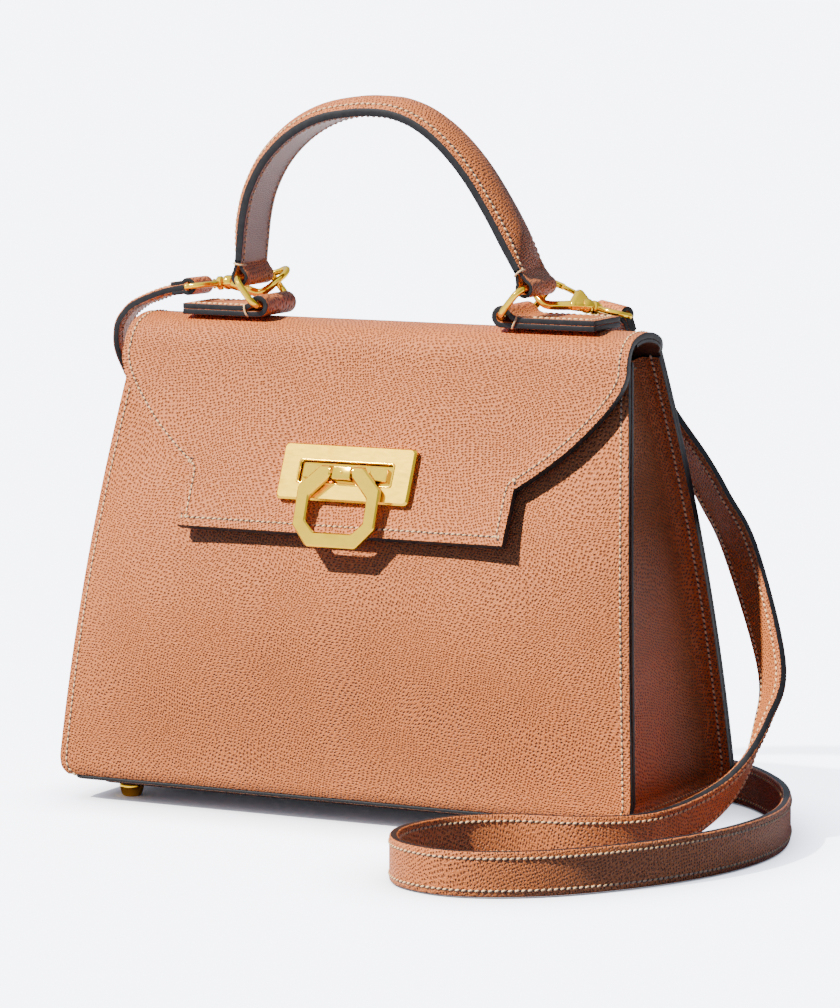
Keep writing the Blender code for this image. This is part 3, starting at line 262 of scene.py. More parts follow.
def leather_slab(name, outer, inner, looks, edge_round=EDGE_ROUND):
    """Cut sheet between two grids of points, with grain side, back and painted edge."""
    rows, columns = len(outer), len(outer[0])
    size = rows * columns
    verts = [p for row in outer for p in row] + [p for row in inner for p in row]
    faces, kinds = [], []
    for r in range(rows - 1):
        for c in range(columns - 1):
            a = r * columns + c
            faces.append((a, a + 1, a + 1 + columns, a + columns))
            b = size + a
            faces.append((b, b + columns, b + 1 + columns, b + 1))
            kinds += [0, 1]
    border = list(range(columns))
    border += [r * columns + columns - 1 for r in range(1, rows)]
    border += [(rows - 1) * columns + c for c in range(columns - 2, -1, -1)]
    border += [r * columns for r in range(rows - 2, 0, -1)]
    for i, a in enumerate(border):
        b = border[(i + 1) % len(border)]
        faces.append((b, a, size + a, size + b))
        kinds.append(2)
    piece = new_piece(name, verts, faces, looks, kinds)
    middle = columns // 2
    along = [0]
    for r in range(1, rows):
        along.append(along[-1] + (outer[r][middle] - outer[r - 1][middle]).length)
    across = []
    for row in outer:
        run = [0]
        for c in range(1, columns):
            run.append(run[-1] + (row[c] - row[c - 1]).length)
        across.append([x - run[middle] for x in run])
    places = piece.data.uv_layers.new(name="surface")
    for corner in piece.data.loops:
        r, c = divmod(corner.vertex_index % size, columns)
        places.data[corner.index].uv = (across[r][c], along[r])
    return rounded(piece, edge_round) if edge_round else piece


def smooth_line(points, steps):
    """Smooth curve through every point."""
    line = []
    for i in range(len(points) - 1):
        p0, p1, p2, p3 = (Vector(points[min(max(i + k, 0), len(points) - 1)]) for k in (-1, 0, 1, 2))
        for k in range(steps):
            t = k / steps
            line.append(0.5 * (2 * p1 + (p2 - p0) * t + (2 * p0 - 5 * p1 + 4 * p2 - p3) * t * t
                               + (3 * p1 - p0 - 3 * p2 + p3) * t * t * t))
    line.append(Vector(points[-1]))
    return line


def spread(low, high, count):
    return [low + (high - low) * i / (count - 1) for i in range(count)]


# The seams are saddle stitched by hand in thick waxed cream thread. Each stitch leans a
# little, and sinks into a small hole at both its ends, drawn as a flat dark disc of painted shade.
STITCH_PITCH, STITCH_LENGTH = 0.0024, 0.0021
THREAD_RADIUS, HOLE_RADIUS = 0.00050, 0.00052
STITCH_LEAN = math.radians(16)
THREAD_CREAM, THREAD_SHADE = (0.98, 0.64, 0.30, 1), (0.78, 0.44, 0.17, 1)


def waxed_thread():
    look = new_look("cream_thread")
    tree = look.node_tree
    strands = specks(tree, 900)
    return coat(look, Base_Color=toned(tree, strands, (THREAD_SHADE, THREAD_CREAM), (0.30, 0.62)),
                Roughness=0.55, Normal=relief(tree, strands, 0.5, 0.0001))


def dull_look(name, colours, scale, detail=2, **finish):
    """Plain finish that a noise varies between two colours; finish names shader inputs."""
    look = new_look(name)
    tree = look.node_tree
    return coat(look, Base_Color=toned(tree, specks(tree, scale, detail), colours), **finish)


cream_thread = waxed_thread()
# The holes are near-black brown discs: painted shade inside each stitch hole.
hole_shade_look = dull_look("stitch_hole_shade", ((0.015, 0.008, 0.006, 1), (0.060, 0.028, 0.016, 1)), 700,
                      Roughness=0.8)


def stitch_tree():
    """Geometry tree that lays stitches, and dark discs of painted hole shade, along a line on a surface.
    """
    tree = bpy.data.node_groups.new("saddle_stitches", "GeometryNodeTree")
    face = tree.interface
    face.new_socket("Geometry", in_out="INPUT", socket_type="NodeSocketGeometry")
    for name, value in (("Pitch", STITCH_PITCH), ("Stitch Length", STITCH_LENGTH),
                        ("Thread Radius", THREAD_RADIUS), ("Hole Radius", HOLE_RADIUS),
                        ("Lean", STITCH_LEAN)):
        face.new_socket(name, in_out="INPUT", socket_type="NodeSocketFloat").default_value = value
    for name in ("Thread", "Hole"):
        face.new_socket(name, in_out="INPUT", socket_type="NodeSocketMaterial")
    face.new_socket("Geometry", in_out="OUTPUT", socket_type="NodeSocketGeometry")
    given = wire(tree, "NodeGroupInput").outputs

    def part_of(name, share):
        return wire(tree, "ShaderNodeMath", given[name], share, operation="MULTIPLY").outputs[0]

    curve = wire(tree, "GeometryNodeMeshToCurve", given["Geometry"])
    points = wire(tree, "GeometryNodeResampleCurve", mode="LENGTH", Curve=curve.outputs[0],
                  Length=given["Pitch"]).outputs[0]
    tangent = wire(tree, "GeometryNodeInputTangent").outputs[0]
    normal = wire(tree, "GeometryNodeInputNamedAttribute", data_type="FLOAT_VECTOR",
                  Name="face_normal")
    turn = wire(tree, "FunctionNodeAlignRotationToVector", axis="X", Vector=tangent)
    upright = wire(tree, "FunctionNodeAlignRotationToVector", axis="Z", pivot_axis="X",
                   Rotation=turn.outputs[0], Vector=[s for s in normal.outputs if s.enabled][0])
    around = wire(tree, "FunctionNodeAxisAngleToRotation", Axis=(0, 0, 1), Angle=given["Lean"])
    lean = wire(tree, "FunctionNodeRotateRotation", rotation_space="LOCAL",
                Rotation=upright.outputs[0], Rotate_By=around.outputs[0])
    step = wire(tree, "ShaderNodeVectorMath", tangent, operation="SCALE",
                Scale=part_of("Pitch", 0.5))
    shift = wire(tree, "GeometryNodeSetPosition", Geometry=points, Offset=step.outputs[0])
    thick, wide = given["Thread Radius"], given["Hole Radius"]
    laid = []
    # Holes: flat dark discs between the stitches, painted shade inside the holes.
    for look, at, rotation, sizes in (
            ("Thread", points, lean, (part_of("Stitch Length", 0.5), thick, thick)),
            ("Hole", shift.outputs[0], upright, (wide, wide, part_of("Hole Radius", 0.30)))):
        ball = wire(tree, "GeometryNodeMeshUVSphere", Segments=6, Rings=4, Radius=1)
        scale = wire(tree, "ShaderNodeCombineXYZ", *sizes)
        shaped = wire(tree, "GeometryNodeTransform", Geometry=ball.outputs["Mesh"],
                      Scale=scale.outputs[0])
        coated = wire(tree, "GeometryNodeSetMaterial", Geometry=shaped.outputs[0],
                      Material=given[look])
        laid.append(wire(tree, "GeometryNodeInstanceOnPoints", Points=at,
                         Instance=coated.outputs[0], Rotation=rotation.outputs[0]))
    together = wire(tree, "GeometryNodeJoinGeometry")
    for instances in reversed(laid):
        feed(together, instances.outputs[0])
    solid = wire(tree, "GeometryNodeRealizeInstances", together.outputs[0])
    smooth = wire(tree, "GeometryNodeSetShadeSmooth", solid.outputs[0])
    wire(tree, "NodeGroupOutput", smooth.outputs[0])
    return tree


stitches = stitch_tree()


def stitched(name, runs, **sizes):
    """Stitches along runs of (point, outward direction); sizes name the tree's inputs."""
    verts, normals, edges = [], [], []
    for run in runs:
        start = len(verts)
        verts += [tuple(p) for p, _ in run]
        normals += [c for _, n in run for c in n]
        edges += [(start + i, start + i + 1) for i in range(len(run) - 1)]
    mesh = bpy.data.meshes.new(name)
    mesh.from_pydata(verts, edges, [])
    mesh.attributes.new("face_normal", "FLOAT_VECTOR", "POINT").data.foreach_set("vector", normals)
    piece = bpy.data.objects.new(name, mesh)
    bpy.context.scene.collection.objects.link(piece)
    work = piece.modifiers.new("stitches", "NODES")
    work.node_group = stitches
    given = {"Thread": cream_thread, "Hole": hole_shade_look, **sizes}
    for socket in stitches.interface.items_tree:
        if socket.in_out == "INPUT" and socket.name in given:
            work[socket.identifier] = given[socket.name]
    return made_plain(piece)


# The shoulder strap is two layers of tan leather, 16.5 mm wide, stitched down both sides, with
# black edges. It goes from the left hook behind the bag, round on the floor, to the right hook.
MIDDLE_Y = 0.00332  # the middle of the bag's body lies this far behind the frame's origin
STRAP_WIDTH, STRAP_THICKNESS, STRAP_CORNER = 0.0165, 0.0034, 0.0006
STRAP_SEAM = 0.0024
STRAP_FOLD, STRAP_BORE = 0.0037, 0.0016
STRAP_FOLD_REACH, STRAP_FOLD_SHARE = 0.0075, 0.86
LOOP_TURN = math.radians(42), math.radians(318), 19  # a folded loop's first and last angle, points
STRAP_ROUTE = (  # point, and the direction across the strap's width
    ((-0.0890, 0.0010, 0.2020), (0.10, 0.99, 0.00)),
    ((-0.0985, 0.0006, 0.2003), (0.08, 0.99, 0.05)),
    ((-0.1090, 0.0022, 0.1968), (-0.06, 0.99, 0.02)),
    ((-0.1190, 0.0060, 0.1925), (-0.18, 0.98, 0.02)),
    ((-0.1275, 0.0110, 0.1855), (-0.28, 0.96, 0.00)),
    ((-0.1325, 0.0170, 0.1750), (-0.36, 0.93, -0.04)),
    ((-0.1325, 0.0250, 0.1610), (-0.46, 0.88, -0.06)),
    ((-0.1290, 0.0370, 0.1400), (-0.62, 0.78, -0.06)),
    ((-0.1155, 0.0620, 0.0840), (-0.93, 0.20, -0.10)),
    ((-0.1090, 0.0720, 0.0560), (-0.90, 0.10, -0.40)),
    ((-0.1020, 0.0790, 0.0310), (-0.68, 0.05, -0.72)),
    ((-0.0880, 0.0840, 0.0145), (-0.30, 0.00, -0.95)),
    ((-0.0640, 0.0860, 0.0092), (0.00, 0.00, -1.00)),
    ((0.0000, 0.0840, 0.0088), (0.00, 0.00, -1.00)),
    ((0.0750, 0.0760, 0.0088), (0.00, 0.00, -1.00)),
    ((0.1180, 0.0620, 0.0088), (0.00, 0.00, -1.00)),
    ((0.1450, 0.0380, 0.0088), (0.00, 0.00, -1.00)),
    ((0.1640, 0.0070, 0.0088), (0.00, 0.00, -1.00)),
    ((0.1745, -0.0300, 0.0088), (0.00, 0.00, -1.00)),
    ((0.1715, -0.0680, 0.0088), (0.00, 0.00, -1.00)),
    ((0.1560, -0.1050, 0.0088), (0.00, 0.00, -1.00)),
    ((0.1310, -0.1370, 0.0088), (0.00, 0.00, -1.00)),
    ((0.1020, -0.1520, 0.0088), (0.00, 0.00, -1.00)),
    ((0.0760, -0.1450, 0.0088), (0.00, 0.00, -1.00)),
    ((0.0640, -0.1220, 0.0088), (0.00, 0.00, -1.00)),
    ((0.0700, -0.0960, 0.0088), (0.00, 0.00, -1.00)),
    ((0.0880, -0.0800, 0.0088), (0.00, 0.00, -1.00)),
    ((0.1150, -0.0720, 0.0088), (0.00, 0.00, -1.00)),
    ((0.1350, -0.0540, 0.0092), (-0.05, 0.10, -1.00)),
    ((0.1450, -0.0300, 0.0145), (-0.18, 0.42, -0.89)),
    ((0.1530, -0.0130, 0.0260), (-0.34, 0.70, -0.63)),
    ((0.1560, 0.0020, 0.0440), (-0.60, 0.72, -0.35)),
    ((0.1545, 0.0140, 0.0640), (-0.80, 0.58, -0.16)),
    ((0.1345, 0.0310, 0.1040), (-0.90, 0.42, -0.05)),
    ((0.1205, 0.0370, 0.1240), (-0.88, 0.46, 0.05)),
    ((0.1065, 0.0415, 0.1420), (-0.88, 0.46, 0.10)),
    ((0.0950, 0.0400, 0.1580), (-0.92, 0.38, 0.05)),
    ((0.0890, 0.0360, 0.1700), (-0.95, 0.32, 0.00)),
    ((0.0860, 0.0295, 0.1800), (-0.93, 0.36, 0.00)),
    ((0.0838, 0.0220, 0.1965), (-0.86, 0.50, -0.02)),
)


def strap_stations():
    """Centre, width direction and thickness direction all along the strap."""
    lift = Vector((0, MIDDLE_Y, 0))
    centres = [p + lift for p in smooth_line([p for p, _ in STRAP_ROUTE], 8)]
    widths = smooth_line([w for _, w in STRAP_ROUTE], 8)
    rings = []
    for i, centre in enumerate(centres):
        along = (centres[min(i + 1, len(centres) - 1)] - centres[max(i - 1, 0)]).normalized()
        wide = (widths[i] - along * widths[i].dot(along)).normalized()
        rings.append((centre, wide, along.cross(wide)))
    return rings


strap_line = strap_stations()


def strap_layer(side):
    """One broad face of the strap, its outer columns rounded down to the edge."""
    half, thick = STRAP_WIDTH / 2, STRAP_THICKNESS / 2
    shape = [(-half, thick - STRAP_CORNER), (-half + STRAP_CORNER / 3, thick - STRAP_CORNER / 3),
             (-half + STRAP_CORNER, thick), (-half / 2, thick), (0, thick), (half / 2, thick),
             (half - STRAP_CORNER, thick), (half - STRAP_CORNER / 3, thick - STRAP_CORNER / 3),
             (half, thick - STRAP_CORNER)]
    return [[centre + wide * a + thickness * side * b for a, b in shape]
            for centre, wide, thickness in strap_line]


strap = leather_slab("strap", strap_layer(1), strap_layer(-1), TAN_BOTH_SIDES, 0)
seam = STRAP_WIDTH / 2 - STRAP_SEAM
strap_seams = []
for side in (-1, 1):
    for edge in (-1, 1):
        strap_seams.append([(c + w * edge * seam + n * side * STRAP_THICKNESS / 2, n * side)
                            for c, w, n in strap_line[4:-4]])
strap_stitches = stitched("strap_stitches", strap_seams)


def folded_sheet(name, line, across, half_width, thickness, looks, columns=5):
    """Strip of leather bent along a line, its width square to the bend."""
    outer, inner = [], []
    for i, p in enumerate(line):
        along = (line[min(i + 1, len(line) - 1)] - line[max(i - 1, 0)]).normalized()
        out = across.cross(along).normalized() * thickness / 2
        row = [across * half_width * t for t in spread(-1, 1, columns)]
        outer.append([p + out + q for q in row])
        inner.append([p - out + q for q in row])
    return leather_slab(name, outer, inner, looks, THIN_EDGE_ROUND)


strap_folds = []
for label, start, after in (("left", 0, 6), ("right", -1, -7)):
    centre, wide, _ = strap_line[start]
    away = strap_line[after][0] - centre
    away = (away - wide * away.dot(wide)).normalized()
    up = wide.cross(away)
    wall = STRAP_FOLD - STRAP_BORE
    radius = (STRAP_FOLD + STRAP_BORE) / 2
    bend = [centre + away * radius * math.cos(a) + up * radius * math.sin(a)
            for a in spread(*LOOP_TURN)]
    reach = away * STRAP_FOLD_REACH
    lay = up * (STRAP_THICKNESS / 2 + CLEARANCE)
    line = [centre + reach + lay] + bend + [centre + reach - lay]
    strap_folds.append(folded_sheet("strap_fold_" + label, line, wide, STRAP_WIDTH / 2,
                                    wall * STRAP_FOLD_SHARE, TAN_BOTH_SIDES))

for piece in [strap, strap_stitches] + strap_folds:
    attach(piece, "bag")
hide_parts("shoulder_strap")

# The front wall is one sheet of tan leather that swells a little between its stitched sides
# and curves in under the bag. A brown lining lies behind it, and its top leaves the mouth open.
BASE_WIDTH, BASE_DEPTH, FOOT_HEIGHT, BODY_TOP = 0.250, 0.1014, 0.0058, 0.183
SIDE_TAPER, SIDE_BOW, FACE_TAPER, FACE_BOW = 0.01085, 0.00691, 0.0168, 0.0182
FRONT_BULGE, BACK_BULGE, BULGE_REACH = 0.0105, 0.0050, 0.164
BEND_RADIUS, HEM_ANGLE = 0.008, math.radians(30)
BEND_CENTRE_Z = FOOT_HEIGHT + 0.0082
CORNER_HEIGHT, CORNER_RADIUS = 0.0180, 0.0100
CREST_HALF_WIDTH, CREST_RISE, CREST_FRONT_Y, CREST_BACK_Y = 0.10854, 0.0086, -0.0203, 0.0158
CREST_END_ANGLE = math.radians(142)
MOUTH_DIP, MOUTH_START, MOUTH_FLAT, MOUTH_END = 0.021, 0.70, 0.62, 0.94
PANEL, LINING, SEAM_INSET = 0.0024, 0.0010, 0.0031
LINING_DEPTH, CREST_LINING_DEPTH, CREST_LINING, POCKET_DEPTH = 0.0046, 0.0027, 0.0012, 0.0059
HEM_SHARE, SEAM_LOW, SEAM_HIGH = 0.15, 0.01, 0.995
SIDE_LINING_TOP, SIDE_LINING_LOW, BACK_LINING_TOP = 0.96, 0.19, 0.97
POCKET_HALF_WIDTH, POCKET_LOW, POCKET_HIGH = 0.62, 0.42, 0.82


def half_width(z):
    rise = max(z - FOOT_HEIGHT, 0) / (BODY_TOP - FOOT_HEIGHT)
    below = min(max((CORNER_HEIGHT - z) / CORNER_RADIUS, 0), 1)
    turned_in = CORNER_RADIUS * (1 - math.sqrt(1 - below * below))
    return BASE_WIDTH / 2 - SIDE_TAPER * rise - SIDE_BOW * rise * rise - turned_in


def half_depth(z):
    rise = max(z - FOOT_HEIGHT, 0) / (BODY_TOP - FOOT_HEIGHT)
    return BASE_DEPTH / 2 - FACE_TAPER * rise - FACE_BOW * rise * rise


def bulge(u, z, amount):
    t = min(max((z - BEND_CENTRE_Z) / (BULGE_REACH - BEND_CENTRE_Z), 0), 1)
    return amount * (1 - u ** 4) * math.sin(math.pi * t) ** 1.5


def mouth_dip(u, s):
    up = max(s - MOUTH_START, 0) / (1 - MOUTH_START)
    t = min(max((MOUTH_END - abs(u)) / (MOUTH_END - MOUTH_FLAT), 0), 1)
    return MOUTH_DIP * up * t * t * (3 - 2 * t)


def wall_surface(u, s, side):
    """Outer face of the front (side -1) or back (side 1) wall; past 1 the back is the crest."""
    if s < HEM_SHARE:
        angle = HEM_ANGLE * (1 - s / HEM_SHARE)
        y = half_depth(BEND_CENTRE_Z) - BEND_RADIUS * (1 - math.cos(angle))
        z = BEND_CENTRE_Z - BEND_RADIUS * math.sin(angle)
        return Vector((u * half_width(z), side * y + MIDDLE_Y, z))
    if s <= 1:
        z = BEND_CENTRE_Z + (BODY_TOP - BEND_CENTRE_Z) * (s - HEM_SHARE) / (1 - HEM_SHARE)
        if side < 0:
            z -= mouth_dip(u, s)
        y = half_depth(z) + bulge(u, z, FRONT_BULGE if side < 0 else BACK_BULGE)
        return Vector((u * half_width(z), side * y + MIDDLE_Y, z))
    angle = CREST_END_ANGLE * (s - 1)
    middle, half = (CREST_FRONT_Y + CREST_BACK_Y) / 2, (CREST_BACK_Y - CREST_FRONT_Y) / 2
    width = half_width(BODY_TOP)
    width += (CREST_HALF_WIDTH - width) * min(4 * (s - 1), 1)
    return Vector((u * width, middle + half * math.cos(angle) + MIDDLE_Y,
                   BODY_TOP + CREST_RISE * math.sin(angle)))


def wall_normal(u, s, side):
    du, ds = 0.01, 0.004
    across = wall_surface(u + du, s, side) - wall_surface(u - du, s, side)
    up = wall_surface(u, s + ds, side) - wall_surface(u, max(s - ds, 0), side)
    return across.cross(up).normalized() * -side


def wall_layer(side, shares, columns, depth):
    return [[wall_surface(u, s, side) - wall_normal(u, s, side) * depth for u in columns]
            for s in shares]


across_wall = [-1, -0.997] + spread(-0.985, 0.985, 47) + [0.997, 1]
inside_wall = spread(-0.88, 0.88, 33)
front_shares = spread(0, HEM_SHARE, 9)[:-1] + spread(HEM_SHARE, 1, 56)
front_wall = leather_slab("front_wall", wall_layer(-1, front_shares, across_wall, 0),
                          wall_layer(-1, front_shares, across_wall, PANEL), LEATHER_LOOKS)
front_lining = leather_slab(
    "front_wall_lining", wall_layer(-1, front_shares[8:], inside_wall, LINING_DEPTH + LINING),
    wall_layer(-1, front_shares[8:], inside_wall, LINING_DEPTH), BROWN_BOTH_SIDES, 0)


def side_seam(side, edge, low, high, count=60):
    """Seam line a little in from one side edge of a wall."""
    run = []
    for s in spread(low, high, count):
        u = edge * (1 - SEAM_INSET / half_width(wall_surface(1, s, side).z))
        run.append((wall_surface(u, s, side), wall_normal(u, s, side)))
    return run


front_stitches = stitched("front_wall_stitches", [side_seam(-1, e, SEAM_LOW, SEAM_HIGH)
                                                  for e in (-1, 1)])
for piece in (front_wall, front_lining, front_stitches):
    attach(piece, "bag")
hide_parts("front_panel")
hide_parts("front_lining")

# One sheet of tan leather is the back wall, goes over the rounded crest of the bag and hangs
# down in front as the flap. The flap is lined, so its black edge is twice as thick.
FLAP_TOP_Z, FLAP_TOP_Y, FLAP_DROP, FLAP_LEAN, FLAP_BOW = 0.1843, -0.0208, 0.0714, 0.0214, 0.0074
FLAP_THICKNESS, TONGUE_HALF_SEAM, BEND_PULL = 0.0036, 0.068, 0.38
FLAP_OUTLINE_SHARES = (  # of the flap's drop, of the crest's half width
    (0, 1), (0.053, 1.0065), (0.116, 1.0083), (0.183, 0.9954), (0.256, 0.9696), (0.340, 0.9290),
    (0.424, 0.8802), (0.508, 0.8258), (0.606, 0.7493), (0.707, 0.6581), (0.725, 0.6507),
    (0.859, 0.6488), (1, 0.6479))
NOTCH_INDEX = 9
CREST_LAST, FLAP_FIRST_Z, SEAM_STEP = 1.86, 0.1815, 0.0008


def flap_face(x, z):
    share = (FLAP_TOP_Z - z) / FLAP_DROP
    return Vector((x, FLAP_TOP_Y - FLAP_LEAN * share - FLAP_BOW * share * share + MIDDLE_Y, z))


def flap_out(z):
    share = (FLAP_TOP_Z - z) / FLAP_DROP
    return Vector((0, -FLAP_DROP, FLAP_LEAN + 2 * FLAP_BOW * share)).normalized()


flap_outline = [(FLAP_TOP_Z - FLAP_DROP * s, CREST_HALF_WIDTH * w, 0) for s, w in FLAP_OUTLINE_SHARES]
curved_side = [(p.x, p.y) for p in smooth_line(flap_outline[:NOTCH_INDEX + 1], 4)]
tongue_side = [(p.x, p.y) for p in smooth_line(flap_outline[NOTCH_INDEX:], 6)]
flap_rows = [(z, w) for z, w in curved_side if z < FLAP_FIRST_Z] + tongue_side[1:]

flap_columns = [-1, -0.996] + spread(-0.98, 0.98, 55) + [0.996, 1]
back_shares = spread(0, HEM_SHARE, 7)[:-1] + spread(HEM_SHARE, 1, 40)[:-1] + spread(1, CREST_LAST, 18)
outside, inside = [], []
for s in back_shares:
    outside.append([wall_surface(u, s, 1) for u in flap_columns])
    inside.append([wall_surface(u, s, 1) - wall_normal(u, s, 1) * PANEL for u in flap_columns])
crest_end = wall_surface(0, CREST_LAST, 1)
crest_way = (crest_end - wall_surface(0, CREST_LAST - 0.02, 1)).normalized()
flap_start = flap_face(0, flap_rows[0][0])
flap_way = (flap_face(0, flap_rows[0][0] - 0.002) - flap_start).normalized()
pull = (flap_start - crest_end).length * BEND_PULL
bend_runs = [[], []]
for t in spread(0, 1, 12)[1:-1]:
    a, b = crest_end, crest_end + crest_way * pull
    c, d = flap_start - flap_way * pull, flap_start
    p = a * (1 - t) ** 3 + b * 3 * t * (1 - t) ** 2 + c * 3 * t * t * (1 - t) + d * t ** 3
    way = (b - a) * (1 - t) ** 2 + (c - b) * 2 * t * (1 - t) + (d - c) * t * t
    out = Vector((0, way.z, -way.y)).normalized()
    out = out if out.z > 0 else -out
    width = CREST_HALF_WIDTH + (flap_rows[0][1] - CREST_HALF_WIDTH) * t
    deep = PANEL + (FLAP_THICKNESS - PANEL) * t
    outside.append([p + Vector((u * width, 0, 0)) for u in flap_columns])
    inside.append([p + Vector((u * width, 0, 0)) - out * deep for u in flap_columns])
    for run, edge in zip(bend_runs, (1, -1)):
        run.append((p + Vector((edge * (width - SEAM_INSET), 0, 0)), out))
for z, width in flap_rows:
    outside.append([flap_face(u * width, z) for u in flap_columns])
    inside.append([flap_face(u * width, z) - flap_out(z) * FLAP_THICKNESS for u in flap_columns])
back_and_flap = leather_slab("back_and_flap", outside, inside, LEATHER_LOOKS)
crest_lining_shares = spread(1, CREST_LAST, 20)
crest_lining = leather_slab(
    "crest_lining_leather",
    wall_layer(1, crest_lining_shares, across_wall, CREST_LINING_DEPTH + CREST_LINING),
    wall_layer(1, crest_lining_shares, across_wall, CREST_LINING_DEPTH), BROWN_BOTH_SIDES, 0)
back_lining_shares = spread(HEM_SHARE, BACK_LINING_TOP, 30)
back_lining = leather_slab(
    "back_wall_lining", wall_layer(1, back_lining_shares, inside_wall, LINING_DEPTH + LINING),
    wall_layer(1, back_lining_shares, inside_wall, LINING_DEPTH), BROWN_BOTH_SIDES, 0)
pocket_columns = spread(-POCKET_HALF_WIDTH, POCKET_HALF_WIDTH, 21)
pocket_shares = spread(POCKET_LOW, POCKET_HIGH, 14)
pocket = leather_slab(
    "inside_pocket", wall_layer(1, pocket_shares, pocket_columns, POCKET_DEPTH + LINING),
    wall_layer(1, pocket_shares, pocket_columns, POCKET_DEPTH), BROWN_BOTH_SIDES, 0)
back_stitches = stitched("back_wall_stitches", [side_seam(1, e, SEAM_LOW, CREST_LAST, 90)
                                                for e in (-1, 1)])


def flap_seam():
    """Line a little inside the flap's edge, down one side, along the tongue and up the other."""
    rim = [Vector((w, 0, z)) for z, w in flap_rows]
    rim += [Vector((x, 0, flap_rows[-1][0])) for x in spread(TONGUE_HALF_SEAM, -TONGUE_HALF_SEAM, 41)]
    rim += [Vector((-w, 0, z)) for z, w in reversed(flap_rows)]
    inner = []
    for i in range(1, len(rim) - 1):
        way = (rim[i + 1] - rim[i - 1]).normalized()
        inner.append(rim[i] + Vector((-way.z, 0, way.x)) * -SEAM_INSET)
    low = flap_rows[-1][0] + SEAM_INSET
    kept = []
    for p in inner:
        p.z = max(p.z, low)
        if not kept or (p - kept[-1]).length > SEAM_STEP:
            kept.append(p)
    return kept


flap_line = flap_seam()
flap_stitches = stitched("flap_stitches", [
    bend_runs[0] + [(flap_face(p.x, p.z), flap_out(p.z)) for p in flap_line] + bend_runs[1][::-1]])
flap_back_stitches = stitched(
    "flap_lining_stitches", [[(flap_face(p.x, p.z) - flap_out(p.z) * FLAP_THICKNESS, -flap_out(p.z))
                              for p in flap_line]])
for piece in (crest_lining, back_lining, pocket, back_stitches):
    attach(piece, "bag")
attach(flap_back_stitches, "flap")
for piece in (back_and_flap, flap_stitches):
    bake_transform(piece)
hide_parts("back_panel", "flap_leather", "flap_lining", "flap_stiffener")
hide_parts("crest_lining")
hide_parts("back_lining")
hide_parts("inner_pocket")

# Each side wall is a gusset of the same leather, set in from the edges of the front and back.
# Its border turns outwards round the fold and is stitched, with its edge painted black.
GUSSET, GUSSET_RECESS, GUSSET_FOLD, GUSSET_COLUMNS = 0.0018, 0.0090, 0.0036, 24
TOUCH = 0.0003
GUSSET_SEAM_INSET = GUSSET_RECESS - GUSSET_FOLD - 0.0020
SIDE_LINING_DEPTH = 0.0078


def gusset_border(depth):
    """Front border of the gusset, top to bottom, as (y, z), at a depth inside the front wall."""
    points = []
    for s in spread(SEAM_HIGH, HEM_SHARE, 40):
        p = wall_surface(1, s, -1) - wall_normal(1, s, -1) * depth
        points.append((p.y - MIDDLE_Y, p.z))
    radius = max(BEND_RADIUS - depth, 0.0004)
    centre = points[-1][0] + radius
    for angle in spread(0, math.pi / 2, 12)[2:]:
        z = BEND_CENTRE_Z - radius * math.sin(angle)
        points.append((centre - radius * math.cos(angle), min(z, points[-1][1] - TOUCH / 10)))
    return points


def gusset_ring(side, inset, depth):
    """Points down the front border, across under the bag and up the back border."""
    edge = gusset_border(depth)
    last_y, last_z = edge[-1]
    path = edge + [(last_y * (1 - 2 * c / GUSSET_COLUMNS), last_z) for c in range(1, GUSSET_COLUMNS)]
    path += [(-y, z) for y, z in reversed(edge)]
    return [Vector((side * (half_width(z) - inset), y + MIDDLE_Y, z)) for y, z in path]


def gusset_seams(side, depth, top):
    """The seam round the gusset's border and the one across its top, as runs for stitches."""
    ring, border = gusset_ring(side, GUSSET_SEAM_INSET, depth), []
    for i, p in enumerate(ring):
        way = ring[min(i + 1, len(ring) - 1)] - ring[max(i - 1, 0)]
        border.append((p, Vector((0, -way.z, way.y)).normalized()))
    low = top.z - SEAM_INSET
    x = side * (half_width(low) - GUSSET_RECESS)
    hem = [(Vector((x, MIDDLE_Y + (top.y - MIDDLE_Y) * t, low)), Vector((side, 0, 0)))
           for t in spread(1, -1, 12)]
    return [border, hem]


def gusset(name, side):
    first, columns = PANEL + TOUCH + GUSSET, GUSSET_COLUMNS
    profile = [(0, first), (0.0010, first), (GUSSET_RECESS - GUSSET_FOLD, first)]
    profile += [(GUSSET_RECESS - GUSSET_FOLD * (1 - math.sin(a)),
                 first + GUSSET_FOLD * (1 - math.cos(a))) for a in spread(0, math.pi / 2, 7)[1:]]
    rings = [gusset_ring(side, inset, depth) for inset, depth in profile]
    count, rows = len(rings[0]), len(gusset_border(first))
    verts = [p for ring in rings for p in ring]
    faces = []
    for r in range(len(rings) - 1):
        for i in range(count - 1):
            a = r * count + i
            faces.append((a, a + 1, a + 1 + count, a + count))
    last = (len(rings) - 1) * count
    web = []
    for r in range(rows):
        a, b = rings[-1][r], rings[-1][count - 1 - r]
        row = [last + r]
        for c in range(1, columns):
            if r == rows - 1:
                row.append(last + rows - 1 + c)
            else:
                row.append(len(verts))
                verts.append(a.lerp(b, c / columns))
        row.append(last + count - 1 - r)
        web.append(row)
    for r in range(rows - 1):
        for c in range(columns):
            faces.append((web[r][c], web[r][c + 1], web[r + 1][c + 1], web[r + 1][c]))
    piece = new_piece(name, verts, faces, LEATHER_LOOKS)
    places = piece.data.uv_layers.new(name="surface")
    for corner in piece.data.loops:
        p = piece.data.vertices[corner.vertex_index].co
        places.data[corner.index].uv = (p.y + side * p.x, p.z)
    facing = sum((f.normal.x * f.area for f in piece.data.polygons)) * side
    if facing < 0:
        piece.data.flip_normals()
    wall = piece.modifiers.new("sheet", "SOLIDIFY")
    wall.thickness = GUSSET
    wall.offset = -1
    wall.material_offset = 1
    wall.material_offset_rim = 2
    made_plain(piece)
    seams = stitched(name + "_stitches", gusset_seams(side, first, rings[-1][0]))
    return rounded(piece, THIN_EDGE_ROUND), seams


